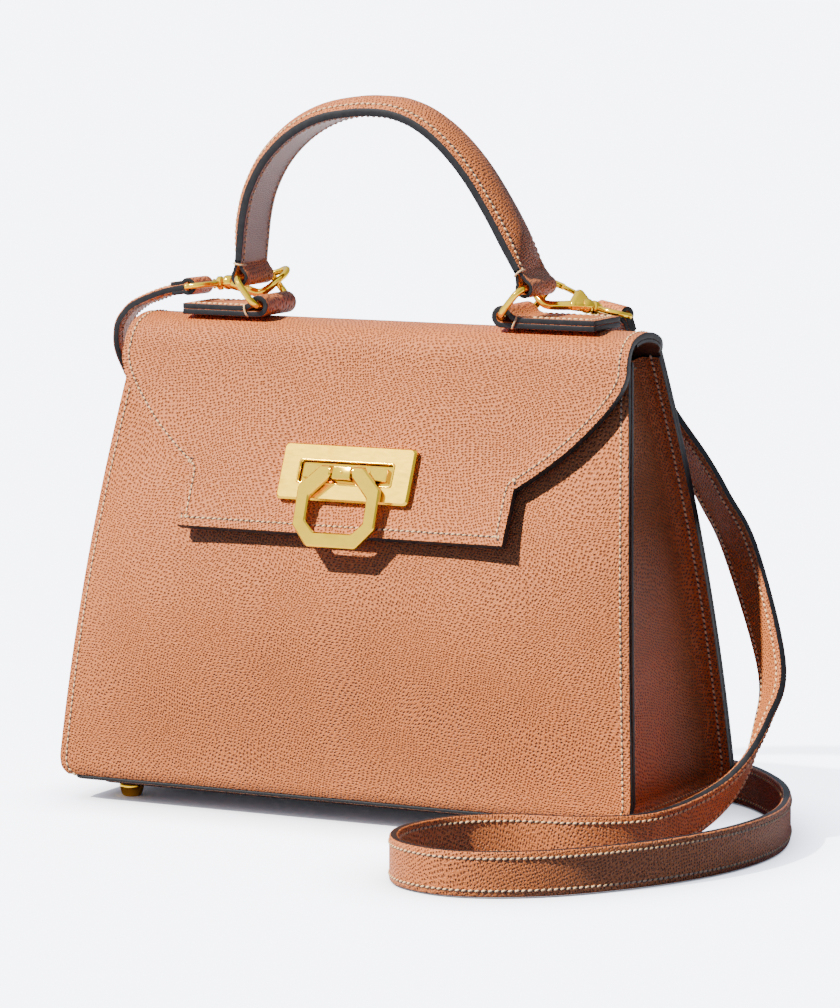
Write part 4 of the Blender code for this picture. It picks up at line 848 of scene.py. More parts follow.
for label, side in SIDES:
    side_wall, side_stitches = gusset(label + "_side_wall", side)
    lining_rows = [[], []]
    for s in spread(SIDE_LINING_TOP, SIDE_LINING_LOW, 24):
        p = wall_surface(1, s, -1) - wall_normal(1, s, -1) * SIDE_LINING_DEPTH
        for row, layer in zip(lining_rows, (CLEARANCE, LINING)):
            x = side * (half_width(p.z) - GUSSET_RECESS - GUSSET - TOUCH - layer)
            y = p.y - MIDDLE_Y
            row.append([Vector((x, y * t + MIDDLE_Y, p.z)) for t in spread(1, -1, 9)])
    side_lining = leather_slab(label + "_side_lining", lining_rows[0], lining_rows[1],
                               BROWN_BOTH_SIDES, 0)
    for piece in (side_wall, side_stitches, side_lining):
        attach(piece, "bag")
    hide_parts(label + "_gusset")
    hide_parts(label + "_lining")

# The bottom is a stiff leather-covered board between the walls, painted black round its edge,
# on four turned brass feet. The feet are polished, and their washers are out of sight.
BASE_THICKNESS, BASE_BOARD, BASE_CORNER, BASE_BEVEL = 0.0043, 0.0027, 0.006, 0.0006
BASE_INSET_X, BASE_INSET_Y, BOARD_INSET_X, BOARD_INSET_Y = 0.0054, 0.0018, 0.0120, 0.0125
AXIS = 0.0001  # radius at which a turned profile starts or ends, on its axis
FOOT_PROFILE = ((AXIS, 0), (0.0030, 0), (0.0035, 0.0002), (0.0040, 0.0008), (0.0046, 0.0026),
                (0.0049, 0.0038), (0.0050, 0.0043), (0.0049, 0.0048), (0.0046, 0.0052),
                (0.0043, 0.0055))
FOOT_INSET_X, FOOT_INSET_Y = 0.0228, 0.0200
BRASS_PALE, BRASS_DEEP = (0.88, 0.54, 0.025, 1), (0.74, 0.42, 0.015, 1)


def gold_brass(name, roughness, stretch):
    """Gold-coloured plated brass, with fine brush lines or only faint handling marks."""
    look = new_look(name)
    tree = look.node_tree
    lines = specks(tree, 900, 3, stretch)
    return coat(look, Metallic=1, Roughness=between(tree, lines, roughness, roughness + 0.05),
                Base_Color=toned(tree, specks(tree, 90), (BRASS_DEEP, BRASS_PALE), (0.20, 0.45)),
                Normal=relief(tree, lines, 0.10, 0.00003))


satin_brass = gold_brass("satin_brass", 0.15, 0.3)
polished_brass = gold_brass("polished_brass", 0.08, 1)


def rounded_box(half_x, half_y, corner, steps=9):
    points = []
    for quarter, (sx, sy) in enumerate(((1, 1), (-1, 1), (-1, -1), (1, -1))):
        for angle in spread(quarter * math.pi / 2, (quarter + 1) * math.pi / 2, steps):
            points.append((sx * (half_x - corner) + corner * math.cos(angle),
                           sy * (half_y - corner) + corner * math.sin(angle)))
    return points


def plate(name, outline, place, low, high, looks, hole=None):
    """Flat plate with an outline, from one height to another of a frame, with one hole."""
    count = len(outline)
    verts = [place @ Vector((x, y, h)) for h in (low, high) for x, y in outline]
    if hole:
        verts += [place @ Vector((x, y, h)) for h in (low, high) for x, y in hole]
        faces, kinds = [], []
        for i in range(count):
            j = (i + 1) % count
            a, b = 2 * count + i, 2 * count + j
            faces += [(i, j, count + j, count + i), (b, a, count + a, count + b),
                      (j, i, a, b), (count + i, count + j, count + b, count + a)]
            kinds += [1, 1, 0, 0]
    else:
        faces = [tuple(range(count - 1, -1, -1)), tuple(range(count, 2 * count))]
        faces += [(i, (i + 1) % count, count + (i + 1) % count, count + i) for i in range(count)]
        kinds = [0, 0] + [1] * count
    return new_piece(name, verts, faces, looks, kinds if len(looks) > 1 else None)


base_outline = rounded_box(BASE_WIDTH / 2 - BASE_INSET_X, BASE_DEPTH / 2 - BASE_INSET_Y, BASE_CORNER)
at_middle = Matrix.Translation((0, MIDDLE_Y, 0))
board_outline = rounded_box(BASE_WIDTH / 2 - BOARD_INSET_X, BASE_DEPTH / 2 - BOARD_INSET_Y,
                            BASE_CORNER)
base_split = FOOT_HEIGHT + BASE_BOARD
base = plate("base_leather", base_outline, at_middle, base_split, FOOT_HEIGHT + BASE_THICKNESS,
             (tan_leather, edge_paint))
board = plate("base_board_cover", board_outline, at_middle, FOOT_HEIGHT, base_split,
              (brown_leather, edge_paint))
for piece, node in ((base, "base_panel"), (board, "base_board")):
    rounded(piece, BASE_BEVEL, 3)
    places = piece.data.uv_layers.new(name="surface")
    for corner in piece.data.loops:
        places.data[corner.index].uv = piece.data.vertices[corner.vertex_index].co.xy
    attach(piece, "bag")
    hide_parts(node)


def turned(name, profile, place, look, sides=32):
    """Lathe-turned solid from a profile of (radius, height)."""
    verts, faces = [place @ Vector((0, 0, profile[0][1]))], []
    for radius, height in profile:
        verts += [place @ Vector((radius * math.cos(2 * math.pi * k / sides),
                                  radius * math.sin(2 * math.pi * k / sides), height))
                  for k in range(sides)]
    verts.append(place @ Vector((0, 0, profile[-1][1])))
    for k in range(sides):
        j = (k + 1) % sides
        faces.append((0, 1 + j, 1 + k))
        for r in range(len(profile) - 1):
            a = 1 + r * sides
            faces.append((a + k, a + j, a + sides + j, a + sides + k))
        faces.append((len(verts) - 1, len(verts) - 1 - sides + k, len(verts) - 1 - sides + j))
    return new_piece(name, verts, faces, (look,))


for across_bag in ("left", "right"):
    for depth_way in ("front", "back"):
        x = (BASE_WIDTH / 2 - FOOT_INSET_X) * (-1 if across_bag == "left" else 1)
        y = (BASE_DEPTH / 2 - FOOT_INSET_Y) * (-1 if depth_way == "front" else 1)
        place = Matrix.Translation((x, y + MIDDLE_Y, 0))
        foot = turned(f"brass_foot_{depth_way}_{across_bag}", FOOT_PROFILE, place, polished_brass)
        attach(foot, "bag")
        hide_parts(f"foot_{depth_way}_{across_bag}")

# The clasp is a brass plate with rounded corners and a window. In the window a hinge block
# carries a flat eight-sided ring that is lifted to open the flap. Its lower bar is left plain.
CLASP_Z, CLASP_STANDOFF = 0.1348, 0.0005
PLATE_WIDTH, PLATE_HEIGHT, PLATE_THICKNESS, PLATE_CORNER = 0.057, 0.0228, 0.0026, 0.0018
WINDOW_WIDTH, WINDOW_HEIGHT, WINDOW_CORNER, WINDOW_LIP = 0.040, 0.0086, 0.0010, 0.0007
PIN_HEIGHT, PIN_RADIUS, KNUCKLE_RADIUS = 0.0048, 0.0010, 0.0023
CLASP_RING_LOW, CLASP_RING_HIGH = 0.0044, 0.0071
CLASP_RING_HALF_WIDTH, CLASP_RING_REACH = 0.0177, 0.0302
CLASP_RING_REST = math.radians(4.5)
CLASP_RING_OUTER_SHARES = (  # of the ring's half width, of its reach below the pin
    (0.52, -0.06), (1, 0.22), (1, 0.735), (0.60, 1))
CLASP_RING_INNER_SHARES = ((0.26, -0.06), (0.26, 0.073), (0.70, 0.345), (0.70, 0.67), (0.465, 0.81))
STEP_NEAR, STEP_FAR, STEP_HALF_HEIGHT, STEP_LOW, STEP_HIGH = 0.0106, 0.0182, 0.0026, 0.0010, 0.0036
BLOCK_SIZES, BLOCK_LOW, BLOCK_HIGH = (0.0040, 0.0026, 0.0006), 0.0010, 0.0066
FLOOR_SIZES, FLOOR_LOW, FLOOR_HIGH = (0.0196, 0.0040, 0.0004), 0.0003, 0.0016
KNUCKLE_INNER, KNUCKLE_OUTER, KNUCKLE_CORNER = 0.0046, 0.0092, 0.0002
PLATE_SINK, PLATE_BEVEL, LIP_SINK, LIP_RISE, LIP_BEVEL = 0.0004, 0.0009, 0.0004, 0.0003, 0.00025
STEP_BEVEL, BLOCK_BEVEL, BLOCK_DROP, RING_BEVEL = 0.0004, 0.0005, 0.0008, 0.0006
DOT_PROFILE = ((AXIS, 0.0064), (0.0006, 0.0064), (0.0005, 0.0069), (AXIS, 0.0070))

out = flap_out(CLASP_Z)
sideways = Vector((1, 0, 0))
clasp_place = Matrix.Translation(flap_face(0, CLASP_Z)) @ Matrix(
    (sideways, out.cross(sideways), out)).transposed().to_4x4()
at_pin = Matrix.Translation((0, 0, PIN_HEIGHT))
ring_place = clasp_place @ at_pin @ Matrix.Rotation(CLASP_RING_REST, 4, "X") @ at_pin.inverted()
plate_top = CLASP_STANDOFF + PLATE_THICKNESS
window = rounded_box(WINDOW_WIDTH / 2, WINDOW_HEIGHT / 2, WINDOW_CORNER)
lock_plate = plate("clasp_plate", rounded_box(PLATE_WIDTH / 2, PLATE_HEIGHT / 2, PLATE_CORNER),
                   clasp_place, CLASP_STANDOFF - PLATE_SINK, plate_top, (satin_brass,), window)
rounded(lock_plate, PLATE_BEVEL, 1, 40, 14)
lip = rounded_box(WINDOW_WIDTH / 2 + WINDOW_LIP, WINDOW_HEIGHT / 2 + WINDOW_LIP,
                  WINDOW_CORNER + WINDOW_LIP)
window_lip = plate("clasp_window_lip", lip, clasp_place, plate_top - LIP_SINK,
                   plate_top + LIP_RISE, (satin_brass,), window)
rounded(window_lip, LIP_BEVEL, 2, 40)
clasp_floor = plate("clasp_floor", rounded_box(*FLOOR_SIZES), clasp_place, FLOOR_LOW, FLOOR_HIGH,
                    (polished_brass,))
knuckle_place = clasp_place @ at_pin @ Matrix.Rotation(math.pi / 2, 4, "Y")
clasp_parts = [lock_plate, window_lip, clasp_floor]
for label, x1, x2 in (("left", -STEP_FAR, -STEP_NEAR), ("right", STEP_NEAR, STEP_FAR)):
    corners = [(x1, -STEP_HALF_HEIGHT), (x2, -STEP_HALF_HEIGHT), (x2, STEP_HALF_HEIGHT),
               (x1, STEP_HALF_HEIGHT)]
    step = plate("clasp_step_" + label, corners, clasp_place, STEP_LOW, STEP_HIGH, (polished_brass,))
    clasp_parts.append(rounded(step, STEP_BEVEL, 2, 50, 20))
block_place = clasp_place @ Matrix.Translation((0, -BLOCK_DROP, 0))
hinge_block = plate("clasp_hinge_block", rounded_box(*BLOCK_SIZES), block_place, BLOCK_LOW,
                    BLOCK_HIGH, (polished_brass,))
clasp_parts.append(rounded(hinge_block, BLOCK_BEVEL, 3, 50, 20))
clasp_parts.append(turned("clasp_dot", DOT_PROFILE, block_place, polished_brass, 16))
outer = [(CLASP_RING_HALF_WIDTH * x, -CLASP_RING_REACH * y) for x, y in CLASP_RING_OUTER_SHARES]
inner = [(CLASP_RING_HALF_WIDTH * x, -CLASP_RING_REACH * y) for x, y in CLASP_RING_INNER_SHARES]
ring_outline = [(-x, y) for x, y in outer] + outer[::-1] + inner + [(-x, y) for x, y in inner[::-1]]
clasp_ring = plate("lift_ring", ring_outline, ring_place, CLASP_RING_LOW, CLASP_RING_HIGH,
                   (satin_brass,))
rounded(clasp_ring, RING_BEVEL, 1, 25, 14)
slim = KNUCKLE_RADIUS - KNUCKLE_CORNER
eye_profile = [(PIN_RADIUS, KNUCKLE_INNER), (slim, KNUCKLE_INNER),
               (KNUCKLE_RADIUS, KNUCKLE_INNER + KNUCKLE_CORNER),
               (KNUCKLE_RADIUS, KNUCKLE_OUTER - KNUCKLE_CORNER), (slim, KNUCKLE_OUTER),
               (AXIS, KNUCKLE_OUTER)]
eye_profile = [(r, -h) for r, h in reversed(eye_profile)] + eye_profile
ring_eyes = turned("lift_ring_eyes", eye_profile, knuckle_place, satin_brass)
for piece in clasp_parts:
    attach(piece, "flap")
for piece in (clasp_ring, ring_eyes):
    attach(piece, "clasp")
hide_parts("lock_plate")
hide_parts("clasp_base", "clasp_pin")
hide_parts("clasp_ring")

# Two leather tabs lie on the crest. Each is a strip folded round the ring's lower bar and
# stitched down as two layers, with a cream thread wound round its throat.
LOOP_X, LOOP_Z, LOOP_OUTER, LOOP_BORE = 0.0530, 0.1963, 0.0042, 0.0022
TAB_Y, TAB_WIDTH, TAB_LAYER = -0.0022 + MIDDLE_Y, 0.024, 0.00218
TAB_LOW_Z, TAB_HIGH_Z = 0.1930, 0.1952
TAB_TOP_Z = TAB_HIGH_Z + TAB_LAYER / 2
TAB_ENDS = {"left": 0.0870, "right": 0.0922}
TAB_END_STEPS = (0, 0.008, 0.016)  # back from the end
TAB_HIGH_STEPS = ((0.0100, 0), (0.0068, 0.0001), (0.0044, 0.0010))  # past the loop, above the upper layer
TAB_LOW_STEPS = (0.0026, 0.0100)  # past the loop
TAB_TURN = math.radians(38), math.radians(262), 18
TAB_SEAM, TAB_SEAM_START, TAB_SEAM_END = 0.0024, 0.0085, 0.0026
WIND_RADIUS = 0.00042
TAB_WINDING = (  # past the loop, behind the tab's front edge, height
    (0.0066, 0.0030, TAB_TOP_Z + 0.0002), (0.0064, 0.0004, TAB_TOP_Z + 0.0001),
    (0.0060, -0.0004, TAB_TOP_Z - 0.0014), (0.0052, -0.0005, TAB_LOW_Z),
    (0.0046, 0.0002, TAB_LOW_Z - 0.0010))


def wire_tube(name, line, radius, look, sides=16, closed=False, radii=None):
    """Round wire along a line, with rounded-off ends unless it is closed."""
    verts, faces = [], []
    count = len(line)
    side = None
    for i, p in enumerate(line):
        before = line[i - 1] if closed or i else line[0]
        after = line[(i + 1) % count] if closed or i < count - 1 else line[-1]
        way = (after - before).normalized()
        if side is None:
            side = way.orthogonal().normalized()
        side = (side - way * side.dot(way)).normalized()
        other = way.cross(side)
        r = radii[i] if radii else radius
        for k in range(sides):
            a = 2 * math.pi * k / sides
            verts.append(p + (side * math.cos(a) + other * math.sin(a)) * r)
    for i in range(count if closed else count - 1):
        for k in range(sides):
            j, n = (k + 1) % sides, (i + 1) % count
            faces.append((i * sides + k, i * sides + j, n * sides + j, n * sides + k))
    if not closed:
        faces.append(tuple(range(sides - 1, -1, -1)))
        faces.append(tuple(range((count - 1) * sides, count * sides)))
    return new_piece(name, verts, faces, (look,))


for label, side in SIDES:
    end = TAB_ENDS[label]
    radius = (LOOP_OUTER + LOOP_BORE) / 2
    turn = [(LOOP_X + radius * math.cos(a), LOOP_Z + radius * math.sin(a))
            for a in spread(*TAB_TURN)]
    strip = [(end - x, TAB_HIGH_Z) for x in TAB_END_STEPS]
    strip += [(LOOP_X + x, TAB_HIGH_Z + z) for x, z in TAB_HIGH_STEPS] + turn
    strip += [(LOOP_X + x, TAB_LOW_Z) for x in TAB_LOW_STEPS]
    strip += [(end - x, TAB_LOW_Z) for x in reversed(TAB_END_STEPS)]
    line = [Vector((side * x, TAB_Y, z)) for x, z in strip]
    tab = folded_sheet("tab_" + label, line, Vector((0, -side, 0)), TAB_WIDTH / 2, TAB_LAYER,
                       TAN_BOTH_SIDES, 9)
    near, far, edge = LOOP_X + TAB_SEAM_START, end - TAB_SEAM_END, TAB_WIDTH / 2 - TAB_SEAM
    corners = ((near, edge), (far, edge), (far, -edge), (near, -edge))
    seam = [(Vector((side * x, TAB_Y + y, TAB_TOP_Z)), Vector((0, 0, 1))) for x, y in corners]
    tab_stitches = stitched("tab_stitches_" + label, [seam])
    front = TAB_Y - TAB_WIDTH / 2
    wound = smooth_line([(side * (LOOP_X + x), front + y, z) for x, y, z in TAB_WINDING], 5)
    winding = wire_tube("tab_winding_" + label, wound, WIND_RADIUS, cream_thread, 10)
    for piece in (tab, tab_stitches, winding):
        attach(piece, "bag")
    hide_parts(label + "_tab")

# A polished brass ring, an oval of round wire, joins each tab to the handle. It leans outwards
# as the handle's weight lets it, with one long side in the tab and the other in the handle.
LEAN_X, LEAN_Z = 0.0090, 0.0110
OVAL_HALF_WIDTH, OVAL_CORNER, OVAL_WIRE = 0.0150, 0.0045, 0.00135
for label, side in SIDES:
    foot_of = Vector((side * LOOP_X, TAB_Y, LOOP_Z))
    rise = Vector((side * LEAN_X, 0, LEAN_Z)) / 2
    line = [foot_of + rise + Vector((0, x, 0)) + rise.normalized() * y
            for x, y in rounded_box(OVAL_HALF_WIDTH, rise.length, OVAL_CORNER, 8)]
    line = [p for i, p in enumerate(line) if (p - line[i - 1]).length > 1e-6]
    oval = wire_tube("oval_ring_" + label, line, OVAL_WIRE, polished_brass, 20, closed=True)
    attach(oval, "ring_" + label)
    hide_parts(label + "_ring")

# The handle is a padded arch: tan leather domed over a core, flat inside, stitched along both
# painted edges. Its thinned ends are folded round the rings' upper bars and bound with thread.
HANDLE_WIDTH, HANDLE_TOP_Z, HANDLE_EDGE, HANDLE_SWELL = 0.022, 0.2800, 0.0031, 0.0047
HANDLE_SWELL_RUN, HANDLE_SWELL_POWER = 0.016, 2.4
HANDLE_LOOP, HANDLE_FOLD, HANDLE_SEAM = 0.0030, 0.0015, 0.0018
HANDLE_OVERLAP, HANDLE_TUCK, HANDLE_GAP_SHARE, KNOT_DROP = 0.0012, 0.0006, 0.52, 0.0004
HANDLE_WINDING = (  # outwards as a share, behind the front edge, down towards the ring
    (1, 0.0034, 0), (1, 0.0006, 0), (0.6, -0.0005, 0), (-0.6, -0.0005, 0.0003),
    (-1, 0.0006, 0.0004), (-1, 0.0034, 0.0004))
GRIP, GRIP_DEEP = (0.36, 0.13, 0.07, 1), (0.14, 0.05, 0.03, 1)
GRIP_GRAIN_DEPTH, GRIP_GRAIN_SIZE, GRIP_SHINE = 0.00010, 0.0009, 0.45
HANDLE_LINE_SHARES = (  # of the half span and of the rise above the rings, along the lining
    (-0.985, 0.075), (-0.970, 0.200), (-0.950, 0.330), (-0.905, 0.465), (-0.800, 0.620),
    (-0.630, 0.757), (-0.425, 0.845), (-0.200, 0.880), (-0.050, 0.884), (0.080, 0.873),
    (0.235, 0.823), (0.400, 0.722), (0.565, 0.572), (0.720, 0.380), (0.845, 0.200), (0.935, 0.075))
half_span, ring_top_z = LOOP_X + LEAN_X, LOOP_Z + LEAN_Z
handle_line = smooth_line([(half_span * x, TAB_Y, ring_top_z + (HANDLE_TOP_Z - ring_top_z) * z)
                           for x, z in HANDLE_LINE_SHARES], 5)
handle_columns = [-1, -0.97, -0.92, -0.84, -0.72, -0.55, -0.3, 0, 0.3, 0.55, 0.72, 0.84, 0.92, 0.97, 1]
outer, inner, outer_seams, inner_seams, outwards = [], [], [[], []], [[], []], []
walked = [0]
for a, b in zip(handle_line, handle_line[1:]):
    walked.append(walked[-1] + (b - a).length)
for i, p in enumerate(handle_line):
    before, after = handle_line[max(i - 1, 0)], handle_line[min(i + 1, len(handle_line) - 1)]
    along = (after - before).normalized()
    away = Vector((-along.z, 0, along.x))
    outwards.append(away)
    run = min(walked[i], walked[-1] - walked[i]) / HANDLE_SWELL_RUN
    swell = HANDLE_SWELL * math.sin(math.pi / 2 * min(run, 1))
    outer.append([p + away * (HANDLE_EDGE + swell * (1 - abs(t) ** HANDLE_SWELL_POWER))
                  + Vector((0, t * HANDLE_WIDTH / 2, 0)) for t in handle_columns])
    inner.append([p + Vector((0, t * HANDLE_WIDTH / 2, 0)) for t in handle_columns])
    share = 1 - HANDLE_SEAM / (HANDLE_WIDTH / 2)
    slope = swell * HANDLE_SWELL_POWER * share ** (HANDLE_SWELL_POWER - 1) / (HANDLE_WIDTH / 2)
    for k, edge in enumerate((-1, 1)):
        y = Vector((0, edge * share * HANDLE_WIDTH / 2, 0))
        raised = HANDLE_EDGE + swell * (1 - share ** HANDLE_SWELL_POWER)
        outer_seams[k].append((p + y + away * raised,
                               (away + Vector((0, edge * slope, 0))).normalized()))
        inner_seams[k].append((p + y, -away))
grip_lining = grained_leather("grip_lining", GRIP, GRIP_DEEP, 0.34, GRIP_GRAIN_DEPTH,
                              GRIP_GRAIN_SIZE, GRIP_SHINE)
handle = leather_slab("handle_leather", outer, inner, (tan_leather, grip_lining, edge_paint))
handle_stitches = stitched("handle_stitches", outer_seams + inner_seams)
handle_pieces = [handle, handle_stitches]
for label, side, end in (("left", -1, 0), ("right", 1, -1)):
    centre = Vector((side * half_span, TAB_Y, ring_top_z))
    middle = handle_line[end] + outwards[end] * HANDLE_EDGE / 2
    up = (middle - centre).normalized()
    first = math.atan2(up.z, up.x)
    turn = [centre + HANDLE_LOOP * Vector((math.cos(first - side * a), 0, math.sin(first - side * a)))
            for a in spread(*LOOP_TURN)]
    apart = outwards[end] * HANDLE_FOLD * HANDLE_GAP_SHARE
    ends = [middle + up * HANDLE_OVERLAP, middle - up * HANDLE_TUCK]
    line = [p + apart for p in ends] + turn + [p - apart for p in reversed(ends)]
    loop = folded_sheet("handle_end_" + label, line, Vector((0, side, 0)), HANDLE_WIDTH / 2,
                        HANDLE_FOLD, TAN_BOTH_SIDES, 7)
    front = -HANDLE_WIDTH / 2
    half = outwards[end] * (HANDLE_EDGE / 2 + WIND_RADIUS * 0.6)
    knot = middle - up * KNOT_DROP
    wound = smooth_line([knot + half * share + Vector((0, front + y, 0)) - up * down
                         for share, y, down in HANDLE_WINDING], 5)
    handle_pieces += [loop, wire_tube("handle_winding_" + label, wound, WIND_RADIUS, cream_thread, 10)]
for piece in handle_pieces:
    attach(piece, "handle")
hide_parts("handle_cover", "handle_core", "handle_lining")

# A swivel snap hook at each end of the strap is clipped on the back of the ring. It is cast in
# brass: a claw closed by a sprung gate, and a loop for the strap that turns on a short post.
CLAW_BEND = ((0.0640, 0.0054, 0.1997), (0.0600, 0.0062, 0.2012), (0.0568, 0.0078, 0.2042),
             (0.0550, 0.0108, 0.2066), (0.0554, 0.0142, 0.2084), (0.0575, 0.0164, 0.2086),
             (0.0605, 0.0168, 0.2074), (0.0652, 0.0160, 0.2060))
GATE_TIP = (0.0657, 0.0158, 0.2058)
POST_PROFILE = ((AXIS, -0.0030), (0.0020, -0.0028), (0.0028, -0.0016), (0.0030, 0.0002),
                (0.0026, 0.0013), (0.0012, 0.0015), (0.0012, 0.0049), (0.0018, 0.0051),
                (0.0021, 0.0057), (0.0016, 0.0063), (AXIS, 0.0064))
COLLAR_PROFILE = ((0.0014, 0.0018), (0.0022, 0.0018), (0.0028, 0.0024), (0.0028, 0.0039),
                  (0.0022, 0.0045), (0.0014, 0.0045))
CLAW_WIRE, CLAW_ROOT, GATE_WIRE, EYE_WIRE, EYE_CLEARANCE = 0.0013, 0.0021, 0.0010, 0.0012, 0.0018
NECK_BALL, ROOT_BALL = 0.0023, 0.0021
EYE_THROAT, EYE_SIDE_END, EYE_BAR_START = ((0.0034, 0.0026), (0.0048, 0.0074)), 0.0052, 0.0018
EYE_CORNER = 0.0006
HOOKS = {
    "left": dict(side=-1, neck=(-0.0765, 0.0040, 0.2035), root=(-0.0715, 0.0042, 0.2022),
                 hinge=(-0.0725, 0.0105, 0.2052), bar=(-0.0890, 0.0010, 0.2020)),
    "right": dict(side=1, neck=(0.0775, 0.0115, 0.1993), root=(0.0735, 0.0072, 0.1998),
                  hinge=(0.0735, 0.0125, 0.2035), bar=(0.0838, 0.0220, 0.1965)),
}
for label, hook in HOOKS.items():
    lift = Vector((0, MIDDLE_Y, 0))
    neck, root, hinge, bar = (Vector(hook[k]) + lift for k in ("neck", "root", "hinge", "bar"))
    bend = [Vector((hook["side"] * x, y, z)) + lift for x, y, z in CLAW_BEND]
    tip = Vector((hook["side"] * GATE_TIP[0], GATE_TIP[1], GATE_TIP[2])) + lift
    line = smooth_line([neck, root] + bend, 7)
    radii = [CLAW_ROOT - (CLAW_ROOT - CLAW_WIRE) * min(2 * i / (len(line) - 1), 1)
             for i in range(len(line))]
    claw = wire_tube("claw_" + label, line, CLAW_WIRE, polished_brass, 18, radii=radii)
    out = (bar - neck).normalized()
    first = out.orthogonal().normalized()
    shank = Matrix.Translation(neck) @ Matrix((first, out.cross(first), out)).transposed().to_4x4()
    post = turned("swivel_post_" + label, POST_PROFILE, shank, polished_brass, 24)
    knuckle = bmesh.new()
    for centre, radius in ((neck, NECK_BALL), (root, ROOT_BALL), (hinge, ROOT_BALL)):
        bmesh.ops.create_icosphere(knuckle, subdivisions=4, radius=radius,
                                   matrix=Matrix.Translation(centre))
    hull = bmesh.ops.convex_hull(knuckle, input=knuckle.verts[:])
    bmesh.ops.delete(knuckle, geom=list({g for g in hull["geom_interior"] + hull["geom_unused"]
                                         if isinstance(g, bmesh.types.BMVert)}), context="VERTS")
    knuckle.verts.index_update()
    body = new_piece("hook_knuckle_" + label, [v.co.copy() for v in knuckle.verts],
                     [[v.index for v in f.verts] for f in knuckle.faces], (polished_brass,))
    knuckle.free()
    gate = wire_tube("gate_" + label, smooth_line([tip, tip.lerp(hinge, 0.5), hinge], 6),
                     GATE_WIRE, polished_brass, 16)
    wide = STRAP_WIDTH / 2 + EYE_CLEARANCE
    across = strap_line[0 if label == "left" else -1][1]
    reach = (bar - neck).length
    half = [*EYE_THROAT, (reach - EYE_SIDE_END, wide), (reach - EYE_BAR_START, wide),
            (reach, wide - EYE_CORNER)]
    loop = [neck + out * a + across * b for a, b in half] + [bar]
    loop += [neck + out * a - across * b for a, b in reversed(half)]
    eye = wire_tube("strap_eye_" + label, smooth_line(loop, 6), EYE_WIRE, polished_brass, 18)
    collar = turned("swivel_collar_" + label, COLLAR_PROFILE, shank, polished_brass, 24)
    for piece in (claw, post, body):
        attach(piece, "hook_" + label)
    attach(gate, "gate_" + label)
    for piece in (eye, collar):
        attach(piece, "bag")
    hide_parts("hook_body_" + label)
    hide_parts("hook_gate_" + label)
    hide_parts("hook_eye_" + label)

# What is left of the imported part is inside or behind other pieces: boards, the padding, the
# magnet and its keeper, washers, rivets and pins. They get their own plain finishes.
board_look = dull_look("fibre_board", ((0.16, 0.12, 0.09, 1), (0.28, 0.22, 0.17, 1)), 600, 4,
                       Metallic=0, Roughness=0.8)
steel_look = dull_look("zinc_steel", ((0.42, 0.42, 0.43, 1), (0.60, 0.60, 0.61, 1)), 300, 4,
                       Metallic=1, Roughness=0.35)
INNER_LOOKS = {
    board_look: ("front_stiffener", "back_stiffener"),
    steel_look: ("lock_back_plate", "flap_magnet", "keeper_plate", "lock_rivet_left",
                 "lock_rivet_right", "hook_pin_left", "hook_pin_right", "washer_front_left",
                 "washer_back_left", "washer_front_right", "washer_back_right"),
}
for look, nodes in INNER_LOOKS.items():
    for node in nodes:
        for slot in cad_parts[node].material_slots:
            slot.material = look

# The bag stands on a white table in a white room, both lit so brightly that they melt into one.
# One hard lamp is high to the left of the camera, and little light comes back into the shade.
FLOOR_WHITE, FLOOR_GLOW, FLOOR_RETURN = (0.96, 0.97, 0.98, 1), 5.4, (0.055, 0.080, 0.190, 1)
# The contact reach and power set the painted contact shadow in the table's glow.
CONTACT_SHADOW_REACH, CONTACT_SHADOW_POWER, FLOOR_HALF_SIDE = 0.035, 1.6, 12
ROOM_WHITE, ROOM_GLOW, ROOM_FILL = (0.84, 0.885, 1.0, 1), 8.3, (0.86, 0.96, 1.15, 1)
ROOM_SHADE, ROOM_SHADE_TINT, LAMP_SIDE = 0.09, (0.72, 1.15, 2.9, 1), (-0.55, -0.55, 0.63)
ROOM_DARK_SIDE, ROOM_LIGHT_SIDE, ROOM_LOW_SHINE, ROOM_HIGH_SHINE = -0.25, 0.95, 0.70, 1.8
floor_mesh = bpy.data.meshes.new("white_floor")
floor_corners = [(FLOOR_HALF_SIDE * x, FLOOR_HALF_SIDE * y, 0)
                 for x, y in ((-1, -1), (1, -1), (1, 1), (-1, 1))]
floor_mesh.from_pydata(floor_corners, [], [(0, 1, 2, 3)])
floor = bpy.data.objects.new("white_floor", floor_mesh)
bpy.context.scene.collection.objects.link(floor)
floor_look = new_look("white_table")
tree = floor_look.node_tree
tree.nodes.remove(tree.nodes["Principled BSDF"])
ray = wire(tree, "ShaderNodeLightPath").outputs
lit = wire(tree, "ShaderNodeBsdfDiffuse", Color=FLOOR_WHITE).outputs[0]
returned = wire(tree, "ShaderNodeBsdfDiffuse", Color=FLOOR_RETURN).outputs[0]
# Ambient occlusion dims the glow near the bag and strap: a painted contact shadow on the table.
painted_contact_shadow = wire(tree, "ShaderNodeAmbientOcclusion", Distance=CONTACT_SHADOW_REACH)
depth = wire(tree, "ShaderNodeMath", painted_contact_shadow.outputs["AO"], CONTACT_SHADOW_POWER, operation="POWER")
strength = wire(tree, "ShaderNodeMath", depth.outputs[0], FLOOR_GLOW, operation="MULTIPLY")
glow = wire(tree, "ShaderNodeEmission", Color=ROOM_WHITE, Strength=strength.outputs[0])
bright = wire(tree, "ShaderNodeAddShader", lit, glow.outputs[0])
mirrored = wire(tree, "ShaderNodeMixShader", ray["Is Glossy Ray"], returned, lit)
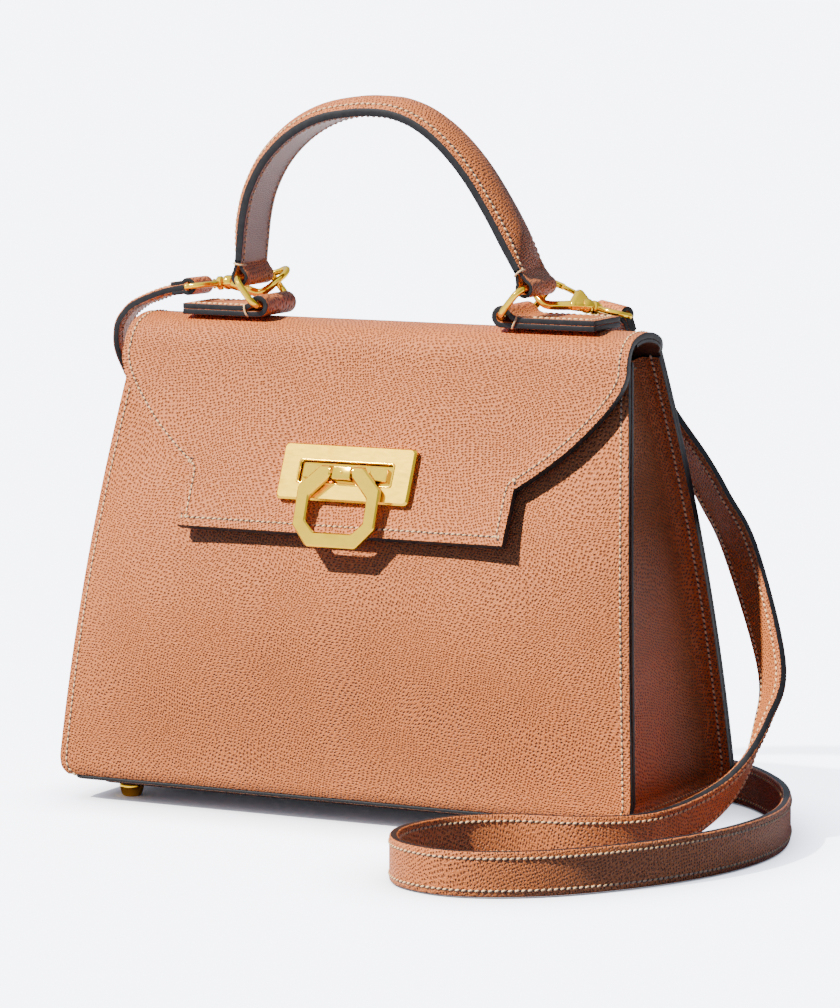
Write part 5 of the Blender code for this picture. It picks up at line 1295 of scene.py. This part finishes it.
choice = wire(tree, "ShaderNodeMixShader", ray["Is Camera Ray"], mirrored.outputs[0],
              bright.outputs[0])
feed(tree.nodes["Material Output"], Surface=choice.outputs[0])
floor_mesh.materials.append(floor_look)

KEY_AZIMUTH, KEY_ELEVATION, KEY_SPREAD = math.radians(-38), math.radians(47), math.radians(1.6)
KEY_STRENGTH, KEY_COLOUR = 9.6, (1.0, 0.975, 0.945)
key_data = bpy.data.lights.new("key_lamp", "SUN")
key_data.energy = KEY_STRENGTH
key_data.angle = KEY_SPREAD
key_data.color = KEY_COLOUR
key = bpy.data.objects.new("key_lamp", key_data)
to_lamp = Vector((math.sin(KEY_AZIMUTH) * math.cos(KEY_ELEVATION),
                  -math.cos(KEY_AZIMUTH) * math.cos(KEY_ELEVATION), math.sin(KEY_ELEVATION)))
key.rotation_euler = to_lamp.to_track_quat("Z", "Y").to_euler()
bpy.context.scene.collection.objects.link(key)

room = bpy.data.worlds.new("white_room")
bpy.context.scene.world = room
room.use_nodes = True
tree = room.node_tree
ray = wire(tree, "ShaderNodeLightPath").outputs
where = wire(tree, "ShaderNodeTexCoord").outputs["Generated"]
side_of = wire(tree, "ShaderNodeVectorMath", where, LAMP_SIDE, operation="DOT_PRODUCT")
strength = wire(tree, "ShaderNodeMapRange", interpolation_type="SMOOTHSTEP",
                Value=side_of.outputs["Value"], From_Min=ROOM_DARK_SIDE,
                From_Max=ROOM_LIGHT_SIDE, To_Min=ROOM_LOW_SHINE, To_Max=ROOM_HIGH_SHINE)
shade = wire(tree, "ShaderNodeMix", ray["Is Glossy Ray"], None, ROOM_SHADE,
             strength.outputs["Result"], data_type="FLOAT")
fill = feed(tree.nodes["Background"], Strength=shade.outputs[0],
            Color=mixed(tree, ray["Is Glossy Ray"], ROOM_SHADE_TINT, ROOM_FILL))
backdrop = wire(tree, "ShaderNodeBackground", Color=ROOM_WHITE, Strength=ROOM_GLOW)
choice = wire(tree, "ShaderNodeMixShader", ray["Is Camera Ray"], fill.outputs[0],
              backdrop.outputs[0])
feed(tree.nodes["World Output"], Surface=choice.outputs[0])
